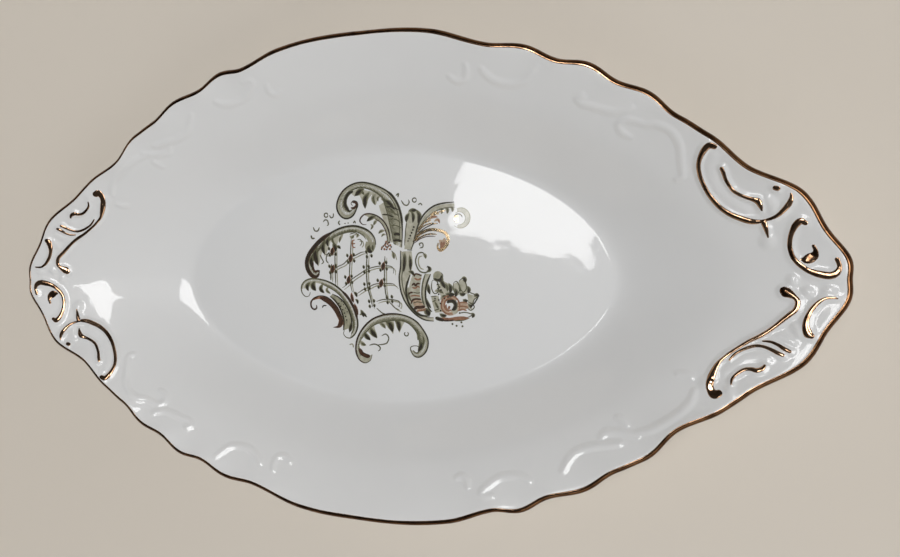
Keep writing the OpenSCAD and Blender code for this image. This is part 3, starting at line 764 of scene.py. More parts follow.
SCROLL_WASHES = [
    ("tint", TOP_OUTER[:24], TOP_INNER, 0, 0.24),
    ("tint", TOP_OUTER[:24], TOP_INNER, 0.42, 1),
    ("olive", TOP_OUTER[:24], TOP_INNER, 0.68, 1),
    ("tint", SMALL_OUTER[4:], SMALL_INNER),
    ("olive", SMALL_OUTER[5:], SMALL_INNER, 0.5, 1),
    ("tint", LEFT_OUTER, LEFT_INNER, 0, 0.26),
    ("tint", LEFT_OUTER, LEFT_INNER, 0.42, 1),
    ("olive", LEFT_OUTER, LEFT_INNER, 0.55, 1),
    ("tint", LOW_OUTER[4:19], LOW_INNER, 0, 0.26),
    ("tint", LOW_OUTER[4:19], LOW_INNER, 0.44, 1),
    ("olive", LOW_OUTER[8:19], LOW_INNER[3:], 0.6, 1),
    ("olive", DOTTED_OUTER, DOTTED_INNER),
    ("tint", BASE_OUTER[3:21], BASE_INNER, 0, 0.24),
    ("tint", BASE_OUTER[3:21], BASE_INNER, 0.42, 1),
    ("olive", BASE_OUTER[3:21], BASE_INNER, 0.6, 1),
    ("tint", BASE_OUTER[:5], [-5.2, -22.9, -6, -22.8, -7, -22.3, -7.8, -21.4, -8.2, -20]),
    ("olive", [-2.4, 10, -2.5, 8.8, -3.2, 7.5, -4.2, 7], [-5.4, 10.4, -5.8, 8.9, -5.4, 7.7, -4.8, 7.1]),
    ("tint", [3, 10, 2.4, 13, 1.6, 17, 0.4, 21.6], [2.4, 10, 1.2, 13.4, -0.2, 17.4, -1.2, 20.6]),
    ("olive", [5.2, 10, 5.3, 14, 4.9, 18, 3.6, 21], [3.2, 9.8, 2.6, 13, 1.6, 17.4, 0.4, 21.6]),
    ("tint", [-8.2, 25.8, -6.8, 23, -5.6, 19.9], [-2.6, 24.6, -4.4, 22.6, -5.4, 19.9]),
    ("tint", [-3.4, 24.8, -3, 22.8, -2.3, 20.9], [-0.2, 23.4, -1.4, 22.4, -2.1, 20.9]),
    ("tint", [-10.6, 25, -9.8, 24.4, -8.8, 23.5], [-7.6, 25.6, -8, 24.6, -8.6, 23.5]),
    ("tint", [-22.2, 7.4, -21.6, 5.4, -21.2, 3.4], [-19, 9.6, -20, 6.6, -20.9, 3.4]),
    ("tint", [-19.4, 9.6, -19.2, 8, -18.9, 6.4], [-16.6, 11.2, -17.4, 9, -18.6, 6.4]),
    ("tint", [-16.4, 11.6, -16, 10.4, -15.5, 9], [-13.4, 12.4, -14.2, 10.8, -15.2, 9]),
    ("tint", [-1.6, -13, 0.6, -14, 2.3, -16.2], [2.8, -12.4, 2.9, -14, 2.6, -16.2]),
    ("tint", [2.6, -12.2, 3.8, -13.6, 4.3, -15.8], [6.2, -12.6, 5.4, -14, 4.6, -15.8]),
    ("tint", [-5.8, -15.4, -4.6, -16.6, -2.6, -17.8], [-3.4, -13.8, -3, -15.6, -2.5, -17.6]),
]
SCROLL_HATCHING = [
    ("olive", 0.18, TOP_OUTER[:23], TOP_INNER, 110, 0, 0.7),
    ("green", 0.22, TOP_OUTER[:23], TOP_INNER, 100, 1, 0.5),
    ("olive", 0.16, SMALL_OUTER[4:], SMALL_INNER, 34, 0, 0.8),
    ("olive", 0.2, LEFT_OUTER, LEFT_INNER, 90, 0, 0.7),
    ("green", 0.26, LEFT_OUTER[4:], LEFT_INNER[3:], 80, 1, 0.4),
    ("olive", 0.16, LOW_OUTER[4:19], LOW_INNER, 80, 0, 0.6),
    ("olive", 0.18, BASE_OUTER[3:21], BASE_INNER, 100, 0, 0.8),
    ("green", 0.22, BASE_OUTER[3:21], BASE_INNER, 84, 1, 0.5),
    ("green", 0.2, LOW_OUTER[8:19], LOW_INNER[3:], 60, 1, 0.5),
]
SCROLL_LINES = [
    ("dark", 0.42, TOP_OUTER),
    ("dark", 0.6, TOP_OUTER[2:8]),
    ("green", 0.26, [5, 10, 5.1, 14, 4.9, 17, 4.2, 19.6, 3.1, 21.8, 1.6, 23.6, -0.4, 24.8]),
    ("green", 0.3, TOP_INNER[:5]),
    ("dark", 0.9, [-9.2, 25, -10.6, 24.5, -11.6, 23.1, -11.8, 21.4, -11.2, 20, -10.4, 19.2]),
    ("brown", 0.7, [-10, 20.3, -9, 20.2, -8.2, 21, -8.5, 21.8, -9.5, 21.9]),
    ("brown", 0.45, TOP_OUTER[12:19]),
    ("dark", 0.34, [0.9, 20.2, 3, 20, 4.8, 19.2]),
    ("dark", 0.4, [-0.2, 18, 1.4, 17.9, 3.4, 17.2]),
    ("green", 0.3, [1.5, 18.9, 3.4, 18.4, 5, 17.4], [1.9, 16.6, 3.8, 16.6, 5.4, 15.6],
     [2.3, 14.8, 4, 14.8, 5.6, 14]),
    ("dark", 0.8, [3.3, 12.2, 4.2, 12.4, 5.2, 12.1]),
    ("dark", 0.7, [3, 10.4, 4.2, 10.6, 5.6, 10.3]),
    ("brown", 0.4, SMALL_OUTER),
    ("dark", 0.26, SMALL_OUTER[5:]),
    ("brown", 0.28, SMALL_INNER[1:]),
    ("dark", 0.5, LEFT_OUTER),
    ("brown", 1.3, LEFT_OUTER[8:19]),
    ("dark", 1, LEFT_OUTER[9:17]),
    ("green", 0.3, [-5.4, 11, -6.6, 12.4, -9, 13.4, -12, 13.1, -14.8, 12.2]),
    ("brown", 0.6, [-22.7, 4.6, -22.8, 3.2, -22.2, 1.9, -21.1, 2, -20.7, 1.4]),
    ("green", 0.35, [-20.4, 6.8, -19.8, 5.6, -19.3, 4.6, -20, 4],
     [-17.2, 7.6, -18.2, 6.4, -18.3, 5, -17.6, 4.2]),
    ("green", 0.4, LOW_OUTER),
    ("dark", 0.4, LOW_OUTER[8:19]),
    ("brown", 0.8, LOW_OUTER[11:16]),
    ("green", 0.3, LOW_INNER[3:]),
    ("dark", 0.36, DOTTED_OUTER),
    ("dark", 0.5, DOTTED_INNER),
    ("green", 0.42, BASE_OUTER),
    ("brown", 0.5, BASE_OUTER[2:13]),
    ("dark", 0.3, BASE_OUTER[3:20]),
    ("green", 0.3, BASE_INNER[2:]),
    ("brown", 1.2, [-8.2, -20.8, -7.4, -22.2, -6, -22.9, -4.8, -23]),
    ("green", 0.36, [-1.1, -17, 0.2, -16.4, 1.1, -17.4, 0.6, -18.9, -0.7, -19.4, -2.3, -19.6],
     [-5, -19.8, -3.2, -19.4, -1.7, -20.2, -1.7, -21, -2.3, -21.4]),
    ("green", 0.34, ring(6.6, -16.2, 0.6, 120, 300)),
    ("olive", 0.4, [-11.4, -19.8, -10.4, -19.6, -10.1, -20.6]),
    ("green", 0.5, [-23.2, 12.6, -22.9, 11.7, -22, 11.7]),
    ("green", 0.4, [-22.4, 15, -21.9, 13.9, -20.9, 13.9, -20.4, 14.9]),
    ("green", 0.36, [-19.1, 16.4, -18.5, 17, -17.7, 16.8, -17.4, 15.7, -17.9, 15.3],
     ring(-18.1, 18.4, 0.6), [-17, 18.4, -16.5, 17.6, -15.8, 17.9, -15.7, 18.9]),
    ("green", 0.4, [-13.7, 16.7, -14.1, 16, -13.6, 15.4]),
    ("green", 0.34, [-9.4, 15.8, -8.9, 16.4, -8.7, 15.7]),
    ("green", 0.4, [4.1, 23.3, 4.9, 23.8, 4.7, 22.8]),
    ("green", 0.36, [5.7, 21.9, 6.5, 20.7, 7.5, 20.4, 8.1, 21.2, 7.9, 22]),
    ("green", 0.34, ring(9.7, 21.8, 0.6), [10.8, 20.4, 11.5, 20.8, 12, 20.2]),
]
SCROLL_LEAVES = [
    ("dark", 1.7, [-5.6, 25.6, -7, 25, -8.7, 23.7]),
    ("green", 1.2, [-7.4, 25.4, -6.4, 24.8, -5.7, 23.9]),
    ("dark", 1.7, [-3.8, 24.8, -5.4, 22.8, -5.5, 19.9]),
    ("green", 1.3, [-1.8, 24.4, -2.9, 22.8, -2.3, 20.8]),
    ("green", 0.8, [-0.6, 23.6, -1.5, 22.8, -1.4, 21.8]),
    ("dark", 1.4, [-0.6, 22.6, 1.8, 21.4, 3.7, 19.2]),
    ("green", 1.2, [0.6, 20.4, 2.6, 19.4, 4, 17.6]),
    ("dark", 1.2, [-2, 17.6, -3.6, 17.2, -5.1, 16.2]),
    ("green", 0.9, [-1.6, 16.6, -2.4, 16, -3, 15]),
    ("green", 0.7, [-4, 15.4, -3.3, 14.8, -3.9, 13.8]),
    ("green", 0.9, [0.6, 13.4, -0.6, 13.3, -1.5, 12.6]),
    ("green", 0.6, [0.9, 12.2, 0, 12.3, -0.6, 11.6]),
    ("dark", 2.1, [-21, 10, -22, 6.8, -21.1, 3.6]),
    ("dark", 1.5, [-22.4, 7.4, -23.4, 5, -22.8, 2.6], [-18.4, 11.8, -19.4, 9, -18.8, 6.8]),
    ("dark", 1.2, [-17, 12.4, -17.9, 10.6, -17.6, 9.2]),
    ("green", 1.1, [-15.4, 13.2, -16.2, 11.2, -15.4, 9.6]),
    ("green", 0.9, [-12.6, 13, -13.6, 11.6, -14, 10.2]),
    ("dark", 1.8, [-4.2, 9.6, -4.6, 8.2, -4, 7]),
    ("green", 1.3, [-3, 10.4, -3.4, 8.8, -3.2, 7.6]),
    ("dark", 1.3, [-23.6, -1.2, -24.9, -2.6, -24.5, -4]),
    ("dark", 1.7, [-22, -1, -23, -2.4, -22, -4]),
    ("dark", 1.2, [-19.6, -1.8, -20.4, -3.4, -19.2, -4.6]),
    ("green", 0.9, [-17.8, -2.6, -18.4, -3.8, -17.2, -4.8]),
    ("dark", 1.3, [-10.6, -12.8, -10.8, -14.4, -11.3, -16.2]),
    ("dark", 1.7, [-4.6, -14.4, -4, -15.8, -2.5, -17.6]),
    ("dark", 1.4, [-6.6, -15.8, -6, -17, -4.6, -18.3]),
    ("green", 1.2, [-8, -18.4, -7.2, -19.4, -6, -19.8]),
    ("dark", 1.9, [0, -12.6, 1.6, -13.6, 2.4, -15.8]),
    ("dark", 1.6, [2.8, -12, 4.2, -13.2, 4.4, -15.6]),
    ("green", 1.2, [-2, -13.2, -0.8, -13.6, 0.2, -14.8], [8.6, -13.4, 10.2, -15.6, 10, -18]),
    ("green", 1.1, [10.8, -15, 11.8, -17.6, 11.4, -20]),
    ("dark", 1.5, [10.8, -17.6, 11, -19.6, 10, -21.2]),
]
SCROLL_DOTS = [
    ("dark", 0.45, [-14.5, -7.6, -13.9, -8.5, -13.3, -9.5, -12.8, -10.5, -12.4, -11.5, -12.1, -12.5]),
    ("dark", 0.35, [-13.7, -7, -13, -8, -12.4, -9, -11.9, -10.1]),
    ("green", 0.4, [-12, 15.8, -11, 15.9]),
]

TRELLIS_LINES = [
    ("green", 0.34, [-15.4, 9.4, -15.5, 5, -15.5, 1, -15.4, -2.2]),
    ("green", 0.5, [-16.6, 4, -16.9, 2, -17, -0.8]),
    ("green", 0.34, [-10.1, 11.4, -10.5, 6.1, -10.9, 0, -10.1, -4.4]),
    ("green", 0.4, [-5.1, 7.2, -5.4, 3.5, -5.4, -0.7, -5.1, -3.1, -4.1, -6.8, -3.8, -8.6]),
    ("green", 0.34, [0.4, 6.1, 0.2, 2.9, 0.2, -1.8, 0.4, -4.4, 1, -7]),
    ("green", 0.3, [-17.4, 1.6, -14.6, 3.2, -12.7, 4, -10.9, 5.6, -9, 6.4, -6.9, 7.3, -5.4, 7.4],
     [-13.3, -3.1, -11.9, -2.1, -10.1, -0.5, -7.5, 1.1, -5.6, 2.2, -3.8, 2.8, -1.7, 3.2, 0.4, 3.3,
      2.3, 3.1, 3, 2.2, 2.9, 1.1],
     [-8.8, -4.9, -6.7, -3.6, -4.8, -2.8, -3, -2, -0.9, -1.8, 1.5, -1.8, 3, -2, 3.8, -2.8],
     [-2.5, -7, -0.9, -6.5, 1, -6.3, 3, -6.5, 4.6, -7, 4.6, -8.4, 4.1, -8.1]),
    ("green", 0.28, [-2.5, -8.9, -0.9, -10.2, 0.4, -10.6], [1.5, -7, 3, -8.6, 4.6, -9.4],
     [-18.8, 6.8, -16.6, 7.2, -15.4, 8], [-10.6, 12.6, -9, 13, -8, 12.6],
     [-8.2, 11, -7.2, 11, -6.8, 10, -7.4, 9.2]),
    ("green", 0.3, [2.4, 7.6, 3, 7, 3.4, 5.4]),
    ("red", 0.4, [-9, 10.9, -9.7, 10.7, -9.8, 9.7, -9.5, 8.8, -8.8, 8.8]),
    ("red", 0.35, [-9.7, 9.8, -8.9, 9.9]),
]
ECHO_SHIFT = (0.6, -0.5)
ECHO_WIDTH = 0.32
TRELLIS_ECHO = [
    ("olive", ECHO_WIDTH, *(pairs(line) + ECHO_SHIFT for line in strokes))
    for ink, _, *strokes in TRELLIS_LINES if ink == "green"
]
TRELLIS_LEAVES = [
    ("dark", 1.5, [-16, 10.6, -15.4, 9, -15.2, 7.6]),
    ("dark", 0.9, [-15, 9.2, -14.2, 9, -13.6, 8.4]),
    ("green", 1, [2.6, 7.4, 3, 6.6, 3.2, 5.2]),
    ("green", 0.9, [-10.6, 12.2, -9.8, 11.7, -9.2, 12.2]),
    ("green", 0.8, [-8.5, 11.6, -8.1, 12.1, -7.8, 12.8]),
    ("brown", 0.9, [-10.4, -4.4, -10.2, -6, -9.7, -7.4]),
    ("brown", 1, [-9.5, -7.6, -9, -9.4, -8.4, -11]),
    ("dark", 0.9, [-9.7, -4.2, -9, -4.8, -8.6, -5.8]),
    ("dark", 0.8, [-9.3, -6.4, -8.6, -6.8, -8.4, -7.8]),
    ("dark", 1, [-7.6, -9.4, -7, -10.4, -6.6, -11.6]),
    ("dark", 0.9, [-8, -11, -6.8, -10.6, -5.6, -11.6]),
]
TRELLIS_DOTS = [
    ("red", 0.7, [-0.4, 8.6, 0.3, 8.1, 0.5, 9.3, 1.2, 8.6, 1.3, 9.6, 2, 8.1, 2.1, 9.2, 0.9, 10.2]),
    ("brown", 0.5, [0, 9, 0.8, 8.8, 1.6, 9, 1, 8, 2.4, 8.7, 0.7, 9.8, 1.7, 10, -0.6, 8.1]),
]
OPEN_FLORETS = [-16.3, 7.7, -16.3, 2.5, -10.4, 5.6, -0.2, 3.2, -11.2, -0.7, -0.9, -1.7]
CLOSED_FLORETS = [-5.5, 2.4, -5.4, -2.6, -4, -7.6, 1.6, -6.4, -4.6, 6.8]

CRESCENT_LINES = [
    ("brown", 0.5, [-21.9, -8.2, -21.9, -9.1, -22.7, -9.5, -23.6, -8.8, -23.7, -7.4, -22.8, -6.3,
      -21.2, -5.6]),
    ("dark", 0.3, [-22.8, -6.1, -21.2, -5.5, -19, -5.6, -17, -6.7, -15.2, -8.6, -14, -10.8, -13.3, -13]),
    ("dark", 0.35, [-20, -9, -19.6, -8.4, -18.6, -8.3]),
    ("brown", 1.5, [-20.6, -6, -18.6, -6.7, -16.6, -8.2, -15, -10.2, -14.2, -12.2]),
]
CRESCENT_LEAVES = [
    ("brown", 1.6, [-23, -6.8, -21.2, -6, -19.2, -6.3, -17.3, -7.4, -15.6, -9.2, -14.5, -11.2, -13.9, -13,
      -14.4, -14.4, -16.6, -14.8]),
    ("brown", 1.5, [-14, -11.4, -14, -13.4, -15.2, -14.6]),
]

PLUME_WASHES = [
    ("tint", [6.4, 8, 6.8, 12, 7.1, 15.4, 7.8, 18.8], [8.8, 8, 9.6, 11.4, 10.6, 15, 10.6, 18.8]),
    ("tint", [10.2, 12.4, 11.2, 15.2, 12.9, 17.6, 15.3, 19.5, 18.2, 20.3, 21.4, 20.5],
     [10.2, 11.6, 11.6, 14, 13.6, 16, 16, 17.6, 18.6, 18.4, 21.6, 18.8], 0, 0.55),
    ("tint", ring(23.1, 16.4, 2.7, 110, -220), ring(22.9, 16.3, 1.9, 110, -220)),
]
PLUME_LINES = [
    ("dark", 0.42, [8.4, 7.8, 9.2, 9.6, 10, 12.5, 11, 15.4, 12.7, 17.9, 15.2, 19.8, 18.1, 20.6,
      21.4, 20.8]),
    ("green", 0.26, [10, 11.4, 11, 13.8, 12.8, 16.2, 15.4, 18.2, 18.4, 19.2, 21.6, 19.4]),
    ("gilt", 0.4, [10.8, 12.6, 12.2, 15, 14.2, 16.8, 16.4, 18, 18.8, 18.6]),
    ("gilt", 0.9, [9.1, 10, 11, 12.1, 13.9, 13.3, 16.8, 13.1, 18.9, 12.1, 19.5, 10.4, 18.9, 8.7,
      17.3, 7.5, 16.4, 8.3, 16.6, 9.6]),
    ("gilt", 0.45, [9.6, 10.2, 11.5, 11.4, 13.8, 12.1, 16.2, 12]),
    ("brown", 0.26, [9.4, 9.6, 11.4, 10.9, 13.8, 11.5, 15.8, 11.4]),
    ("gilt", 0.4, [10, 12.2, 11.8, 14, 14, 15, 16.6, 15]),
    ("dark", 0.3, [10.2, 11.8, 12, 13.4, 14.4, 14.6, 15.6, 14.9]),
    ("gilt", 0.45, [10.6, 13.6, 12.4, 15.2, 14.6, 16]),
    ("olive", 0.28, ring(23.1, 16.4, 2.8, 110, -240), ring(22.8, 16.3, 1.8, 130, -230)),
    ("green", 0.3, ring(22.5, 16.3, 1.2, 160, -150), [6.5, 9, 6.9, 13.4, 7.3, 15.9],
     [8, 19, 9.2, 19.3, 10.4, 18.8, 11.1, 17.4, 11, 16.2], [7.2, 7.8, 8.8, 7.7]),
    ("green", 0.4, [12.7, 6, 12, 6.9, 10.6, 6.7, 9.8, 5, 10, 3.3, 11, 1.7, 12.7, 1.3, 13.9, 2.1,
      13.7, 2.9, 13, 2.8]),
    ("olive", 0.4, [11.8, 6, 10.8, 5.6, 10.6, 4, 11.2, 2.6, 12.2, 2.2]),
    ("green", 0.36, [11, 8.2, 12, 8.6, 11.9, 9.6, 11, 9.5, 11.2, 8.8]),
]
PLUME_LEAVES = [
    ("red", 0.8, [13.6, 16, 15, 16.9, 16.6, 16.8]),
    ("red", 0.7, [15.4, 15.6, 16.6, 16.1, 17.1, 15]),
    ("red", 1.6, [18.4, 11, 18.2, 9.4, 17.1, 8]),
    ("red", 1.3, [16.8, 10.4, 17.6, 9.6, 17.4, 8.2]),
    ("gilt", 1.2, [22.4, 17.2, 21.9, 16.2, 22.4, 15]),
    ("gilt", 1, [14.4, 17.4, 15.8, 17.9, 17, 17.6]),
    ("green", 1, [16.8, 19.4, 17.8, 18.8, 17.6, 17.6], [18.4, 19.6, 19.4, 18.9, 19.3, 17.6]),
    ("green", 0.9, [20, 19.8, 20.9, 19.1, 20.8, 18]),
    ("dark", 1.2, [8.2, 18.2, 7.4, 17.2, 7.1, 15.6], [7.8, 18.8, 9.2, 18.9, 10.4, 19]),
    ("dark", 1.1, [8.5, 18.8, 9.3, 17.4, 9.1, 15.4]),
    ("dark", 1.3, [10, 19.2, 11.1, 17.4, 10.6, 15.2]),
    ("dark", 1, [12.9, 1.4, 14, 2.2, 13.2, 3.2]),
    ("green", 1, [11.9, 6.4, 12.6, 6.2, 12.8, 5.2]),
]
PLUME_DOTS = [
    ("dark", 0.55, [9.4, 14.2, 9.1, 13.4, 8.7, 12.6, 8.3, 11.8]),
    ("dark", 0.4, [7.9, 11, 7.6, 10.3]),
]

BASKET_WASHES = [
    ("tint", [6, 7.4, 6, 3, 5.6, 0, 5.9, -3, 6.9, -6, 8.6, -8.6],
     [8.6, 7.4, 8.8, 4, 8.2, 0.6, 7.2, -2.6, 7.4, -5.4, 9, -8.4]),
    ("tint", STEM_OUTER, STEM_INNER),
    ("tint", [8.8, 0.8, 7.8, -2, 7.6, -4.8, 8.4, -7.6, 10.2, -9.8],
     [11.6, 0.8, 11.1, -2, 11, -5, 11.8, -7.6, 13, -9.6]),
    ("peach", [8.6, -6, 8.8, -7.4, 10, -9.4], [11, -6, 11.6, -7.4, 12.8, -9.2]),
    ("tint", [12.6, 1, 11.8, -1.6, 11.5, -4, 11.6, -6.2, 12.3, -8.4],
     [14.2, 0.9, 13.2, -1.3, 12.6, -3.7, 12.7, -6.6, 13.4, -8.6]),
]
BASKET_LINES = [
    ("dark", 0.4, STEM_OUTER),
    ("green", 0.3, STEM_INNER),
    ("dark", 0.55, [8, 0.7, 6.9, -2.4, 6.8, -4.7, 7.5, -7.4, 9.3, -9.7, 11.1, -10.8, 13.7, -11]),
    ("green", 0.45, [12.6, 1, 11.8, -1.6, 11.5, -4, 11.6, -6.2, 12.3, -8.4]),
    ("dark", 0.45, [14.2, 0.9, 13.2, -1.3, 12.6, -3.7, 12.7, -6.6, 13.4, -8.6, 14.4, -9.8]),
    ("brown", 0.45, [9.2, 0.1, 9.6, 0.9, 10.6, 0.8, 11.5, 0.4]),
    ("red", 0.5, [9.3, -0.2, 10.3, -0.7, 11.4, -0.3]),
    ("brown", 0.5, [8.5, -2.4, 9.2, -1.8, 9.6, -2.4, 10.2, -1.8, 11, -1.9]),
    ("red", 0.45, [8.6, -2.9, 9.6, -3.1, 10.2, -2.6, 10.9, -2.9]),
    ("brown", 0.5, [7.5, -4.9, 8, -4.4, 8.8, -4.3]),
    ("green", 0.3, [8.8, -4.2, 10, -4.5, 11, -4.4]),
    ("red", 0.4, [8, -5.4, 9.4, -5.2, 11, -5.4]),
    ("brown", 0.55, [8.2, -7.6, 8.6, -6.6, 9.6, -6.2, 11.3, -6.3]),
    ("green", 0.3, [8.8, -7.4, 10, -7, 11.6, -7.2]),
    ("brown", 0.9, [9, -9.3, 9.8, -8.6, 11.2, -8.5, 12.4, -8.3]),
    ("red", 0.5, [9.8, -9.7, 11.2, -9.4, 12.6, -9.2]),
]
BASKET_LEAVES = [
    ("dark", 1.3, [6.6, 7.4, 6.4, 4.6, 6.1, 1.4]),
    ("dark", 1.2, [7.9, 6.6, 8.2, 4.4, 8.1, 1.8]),
    ("dark", 1, [7.4, 1.6, 8.6, 1.4, 9.2, 0.4]),
    ("dark", 2, [12, -8.8, 13, -9.7, 13.8, -10.8]),
    ("dark", 1.1, [13.4, -1.8, 13.5, -3.4, 13.9, -4.9]),
    ("dark", 0.9, [12.8, -5.8, 13.1, -7.2, 14.2, -8.8]),
    ("green", 0.9, [7.4, -2.6, 7.4, -5, 8.4, -7.2]),
]

BOUQUET_WASHES = [
    ("olive", ring(16.3, 0.3, 1.4, -90, 180), ring(16.3, 0.3, 1.4, -90, -180)),
    ("tint", [14.2, -5.4, 14.6, -7.4, 15.4, -10], [16.4, -5.2, 17, -7.4, 18, -9.8]),
    ("tint", [15.8, -2, 16.6, -4.2, 17.4, -6], [17.9, -1.6, 19.2, -3.6, 19.8, -5]),
    ("tint", [20.8, -1.8, 20.7, -3.4, 21.2, -5], [22.4, -1.4, 22.6, -3.2, 22.4, -5]),
    ("tint", [22.4, -1, 22.8, -3, 23.2, -5], [24.2, -0.6, 24.8, -2.4, 24.8, -4.6]),
    ("tint", [24.8, -4.6, 25, -6.6, 24.8, -8.6], [27.6, -5.2, 26.6, -7, 26, -9]),
    ("tint", ring(20.6, -8.8, 1.7, -110, 140), ring(20.4, -8.4, 0.9, -110, 140)),
    ("peach", ring(19.8, -8, 2.8, 40, 250), ring(19.8, -8, 1.7, 40, 250)),
    ("peach", [21.9, -6.9, 23.4, -7.1, 25, -7.6], [21.9, -9.6, 23.2, -9.3, 25, -8.7]),
]
BOUQUET_LINES = [
    ("green", 0.3, ring(16.3, 0.3, 1.45, -160, 200)),
    ("dark", 0.6, ring(16.3, 0.3, 1.1, -150, 160)),
    ("red", 0.45, ring(19.8, -8, 2.8, -20, 190), ring(19.5, -8, 2.3, 140, 150)),
    ("red", 0.5, ring(19.9, -7.8, 1.8, 60, 200)),
    ("red", 0.45, ring(19.7, -8.2, 1.1, 150, 150)),
    ("dark", 1, ring(20.1, -7.9, 1.3, 150, -230)),
    ("red", 0.9, [19.2, -8.4, 19.5, -8.5, 19.8, -8.6]),
    ("red", 0.4, [22, -8.2, 23.6, -8.1, 25.2, -8.4], [22.2, -9.3, 23.4, -9, 24.6, -9.3],
     [22.4, -7.2, 23.6, -7, 25, -7.3]),
    ("red", 1, [17, -11.6, 19.5, -11.9, 22, -11.5, 25, -11.4]),
    ("brown", 0.5, [16, -11.9, 18.5, -12.2, 21, -12]),
    ("dark", 0.9, [15.4, -11.4, 16.6, -11.8, 18, -12]),
    ("green", 0.35, [21, -12.2, 23.4, -12, 25.4, -11.3]),
    ("green", 0.3, [14.1, -5.5, 15.9, -5.3]),
    ("green", 0.34, [14.6, -7, 15.6, -6.4], [15.1, -9.4, 16.6, -8.9]),
    ("green", 0.3, [14.6, -1, 14.4, -3, 15.2, -4.6, 16.4, -4, 16.4, -2, 15.6, -0.8, 14.6, -1],
     [20.9, -1.6, 21.8, -1.2, 22.6, -2.6, 22.4, -4.2, 21.4, -4.6, 20.8, -3.2, 20.9, -1.6],
     [22.4, -1.2, 23.6, -0.4, 24.4, -1.6, 24.6, -3.2, 23.6, -4.2, 22.8, -3],
     [24.8, -4, 26.4, -4.6, 28, -5.2, 26.8, -6.2, 26.2, -7.4, 25, -6.8],
     [25.6, -7, 26.8, -8.2, 25.8, -9.2, 24.8, -8.6], [22.3, -10.2, 24, -9.8, 26.2, -10.4, 24.8, -11.2]),
    ("dark", 0.36, [25.6, -8.6, 27, -7, 28.1, -5.2]),
]
BOUQUET_LEAVES = [
    ("dark", 1.3, [17.6, 0.2, 17.2, -0.8, 16.2, -1], [16.6, -0.6, 17.6, -1.6, 18.5, -3.2]),
    ("green", 1.3, [17.6, -1.4, 18.8, -2.4, 19.2, -4]),
    ("dark", 1.3, [19.4, -1.6, 20, -3, 19.8, -4.6]),
    ("green", 1.2, [15.2, -4, 16.6, -3.8, 18, -4.6]),
    ("dark", 1.2, [21, -3, 21.7, -4.2, 21.3, -5.6], [23.2, -0.4, 24, -0.4, 24.4, -1.6]),
    ("dark", 1.1, [24.8, -2.4, 25.3, -3.5, 25, -4.6], [22.4, -4.2, 23.3, -4.8, 24.4, -4.6],
     [26.6, -5.4, 27.5, -5, 28.3, -5.3], [23.5, -6.2, 24.2, -6.6, 25, -6.5]),
    ("dark", 0.9, [25, -7.4, 25.7, -8, 26.3, -7.6], [25.8, -10, 26.5, -10.5, 26.1, -11.3]),
    ("dark", 1.6, [18.4, -4.6, 19.8, -5, 21.2, -4.7]),
    ("dark", 1.1, [16.6, -10.2, 17.6, -10.8, 18.8, -10.8]),
    ("green", 1, [17, -6.4, 17.8, -5.4, 18.8, -5.2], [22.6, -1.6, 22.7, -3, 22.9, -4.2]),
    ("green", 1.1, [14.8, -6.2, 15.6, -7.4, 16.4, -9]),
]
BOUQUET_DOTS = [
    ("green", 0.6, [20.4, -13.1, 21.6, -13.6, 23.3, -13.7, 23, -12.6]),
    ("dark", 0.5, [16.2, -2, 16.8, -2.8, 17.2, -3.6, 16.3, -3.2, 16.5, -4.8, 15.4, -6, 16.5, -6.4,
      17, -7.4, 16.2, -8.4, 17, -9.4, 19.2, -5.6, 18.2, -6, 22.6, -10]),
]

# Inks of the print, each with the height of its top above the floor
INKS = {
    "tint": (glazed("ink_tint", (0.5, 0.485, 0.4), (0.36, 0.35, 0.27), 700.0), 0.01),
    "olive": (glazed("ink_olive", (0.36, 0.35, 0.26), (0.24, 0.235, 0.165), 900.0), 0.022),
    "peach": (glazed("ink_peach", (0.52, 0.39, 0.28), (0.37, 0.26, 0.175), 900.0), 0.034),
    "green": (glazed("ink_green", (0.125, 0.122, 0.07), (0.075, 0.073, 0.04), 1300.0), 0.046),
    "gilt": (fired_gold("ink_gilt", (0.8, 0.63, 0.41), (0.5, 0.34, 0.18)), 0.058),
    "red": (glazed("ink_red", (0.31, 0.16, 0.095), (0.21, 0.1, 0.055), 1300.0), 0.07),
    "brown": (glazed("ink_brown", (0.075, 0.036, 0.02), (0.042, 0.02, 0.011), 1300.0), 0.082),
    "dark": (glazed("ink_dark", (0.036, 0.029, 0.018), (0.018, 0.0145, 0.009), 1300.0), 0.094),
}
INK_NAMES = list(INKS)
INK_ROOT = 0.03
INK_STEP = 0.0003
INK_STEPS = 37
INK_LEAST = 0.03

# Lines: spline steps, share of the width at the tips, how fast they widen, and heavy dark lines with a halo
LINE_STEPS = 6
LINE_TIP = 0.4
LINE_TAPER = 4
HEAVY_LINE = 0.38
HEAVY_HALO = 1.2
HEAVY_CORE = 0.75

# Leaves: three layers of width and start, the lower two in paler inks
LEAF_STEPS = 8
LEAF_LAYERS = ((1.1, 0), (0.85, 0.15), (0.55, 0.35))
LEAF_POWER = 0.8
UNDER_LEAF = {
    "dark": ("olive", "green"), "green": ("tint", "olive"), "brown": ("red", "brown"),
    "red": ("peach", "peach"), "gilt": ("gilt", "gilt"),
}

# Washes, hatching of uneven length, and dots
WASH_STEPS = 64
HATCH_SHAPE = np.array([0.6, 1, 0.3])
HATCH_LEAST = 0.6
HATCH_STEP = 0.04
HATCH_STRIDE = 37
HATCH_LENGTHS = 11
DOT_TURNS = np.radians(np.arange(0, 360, 36))

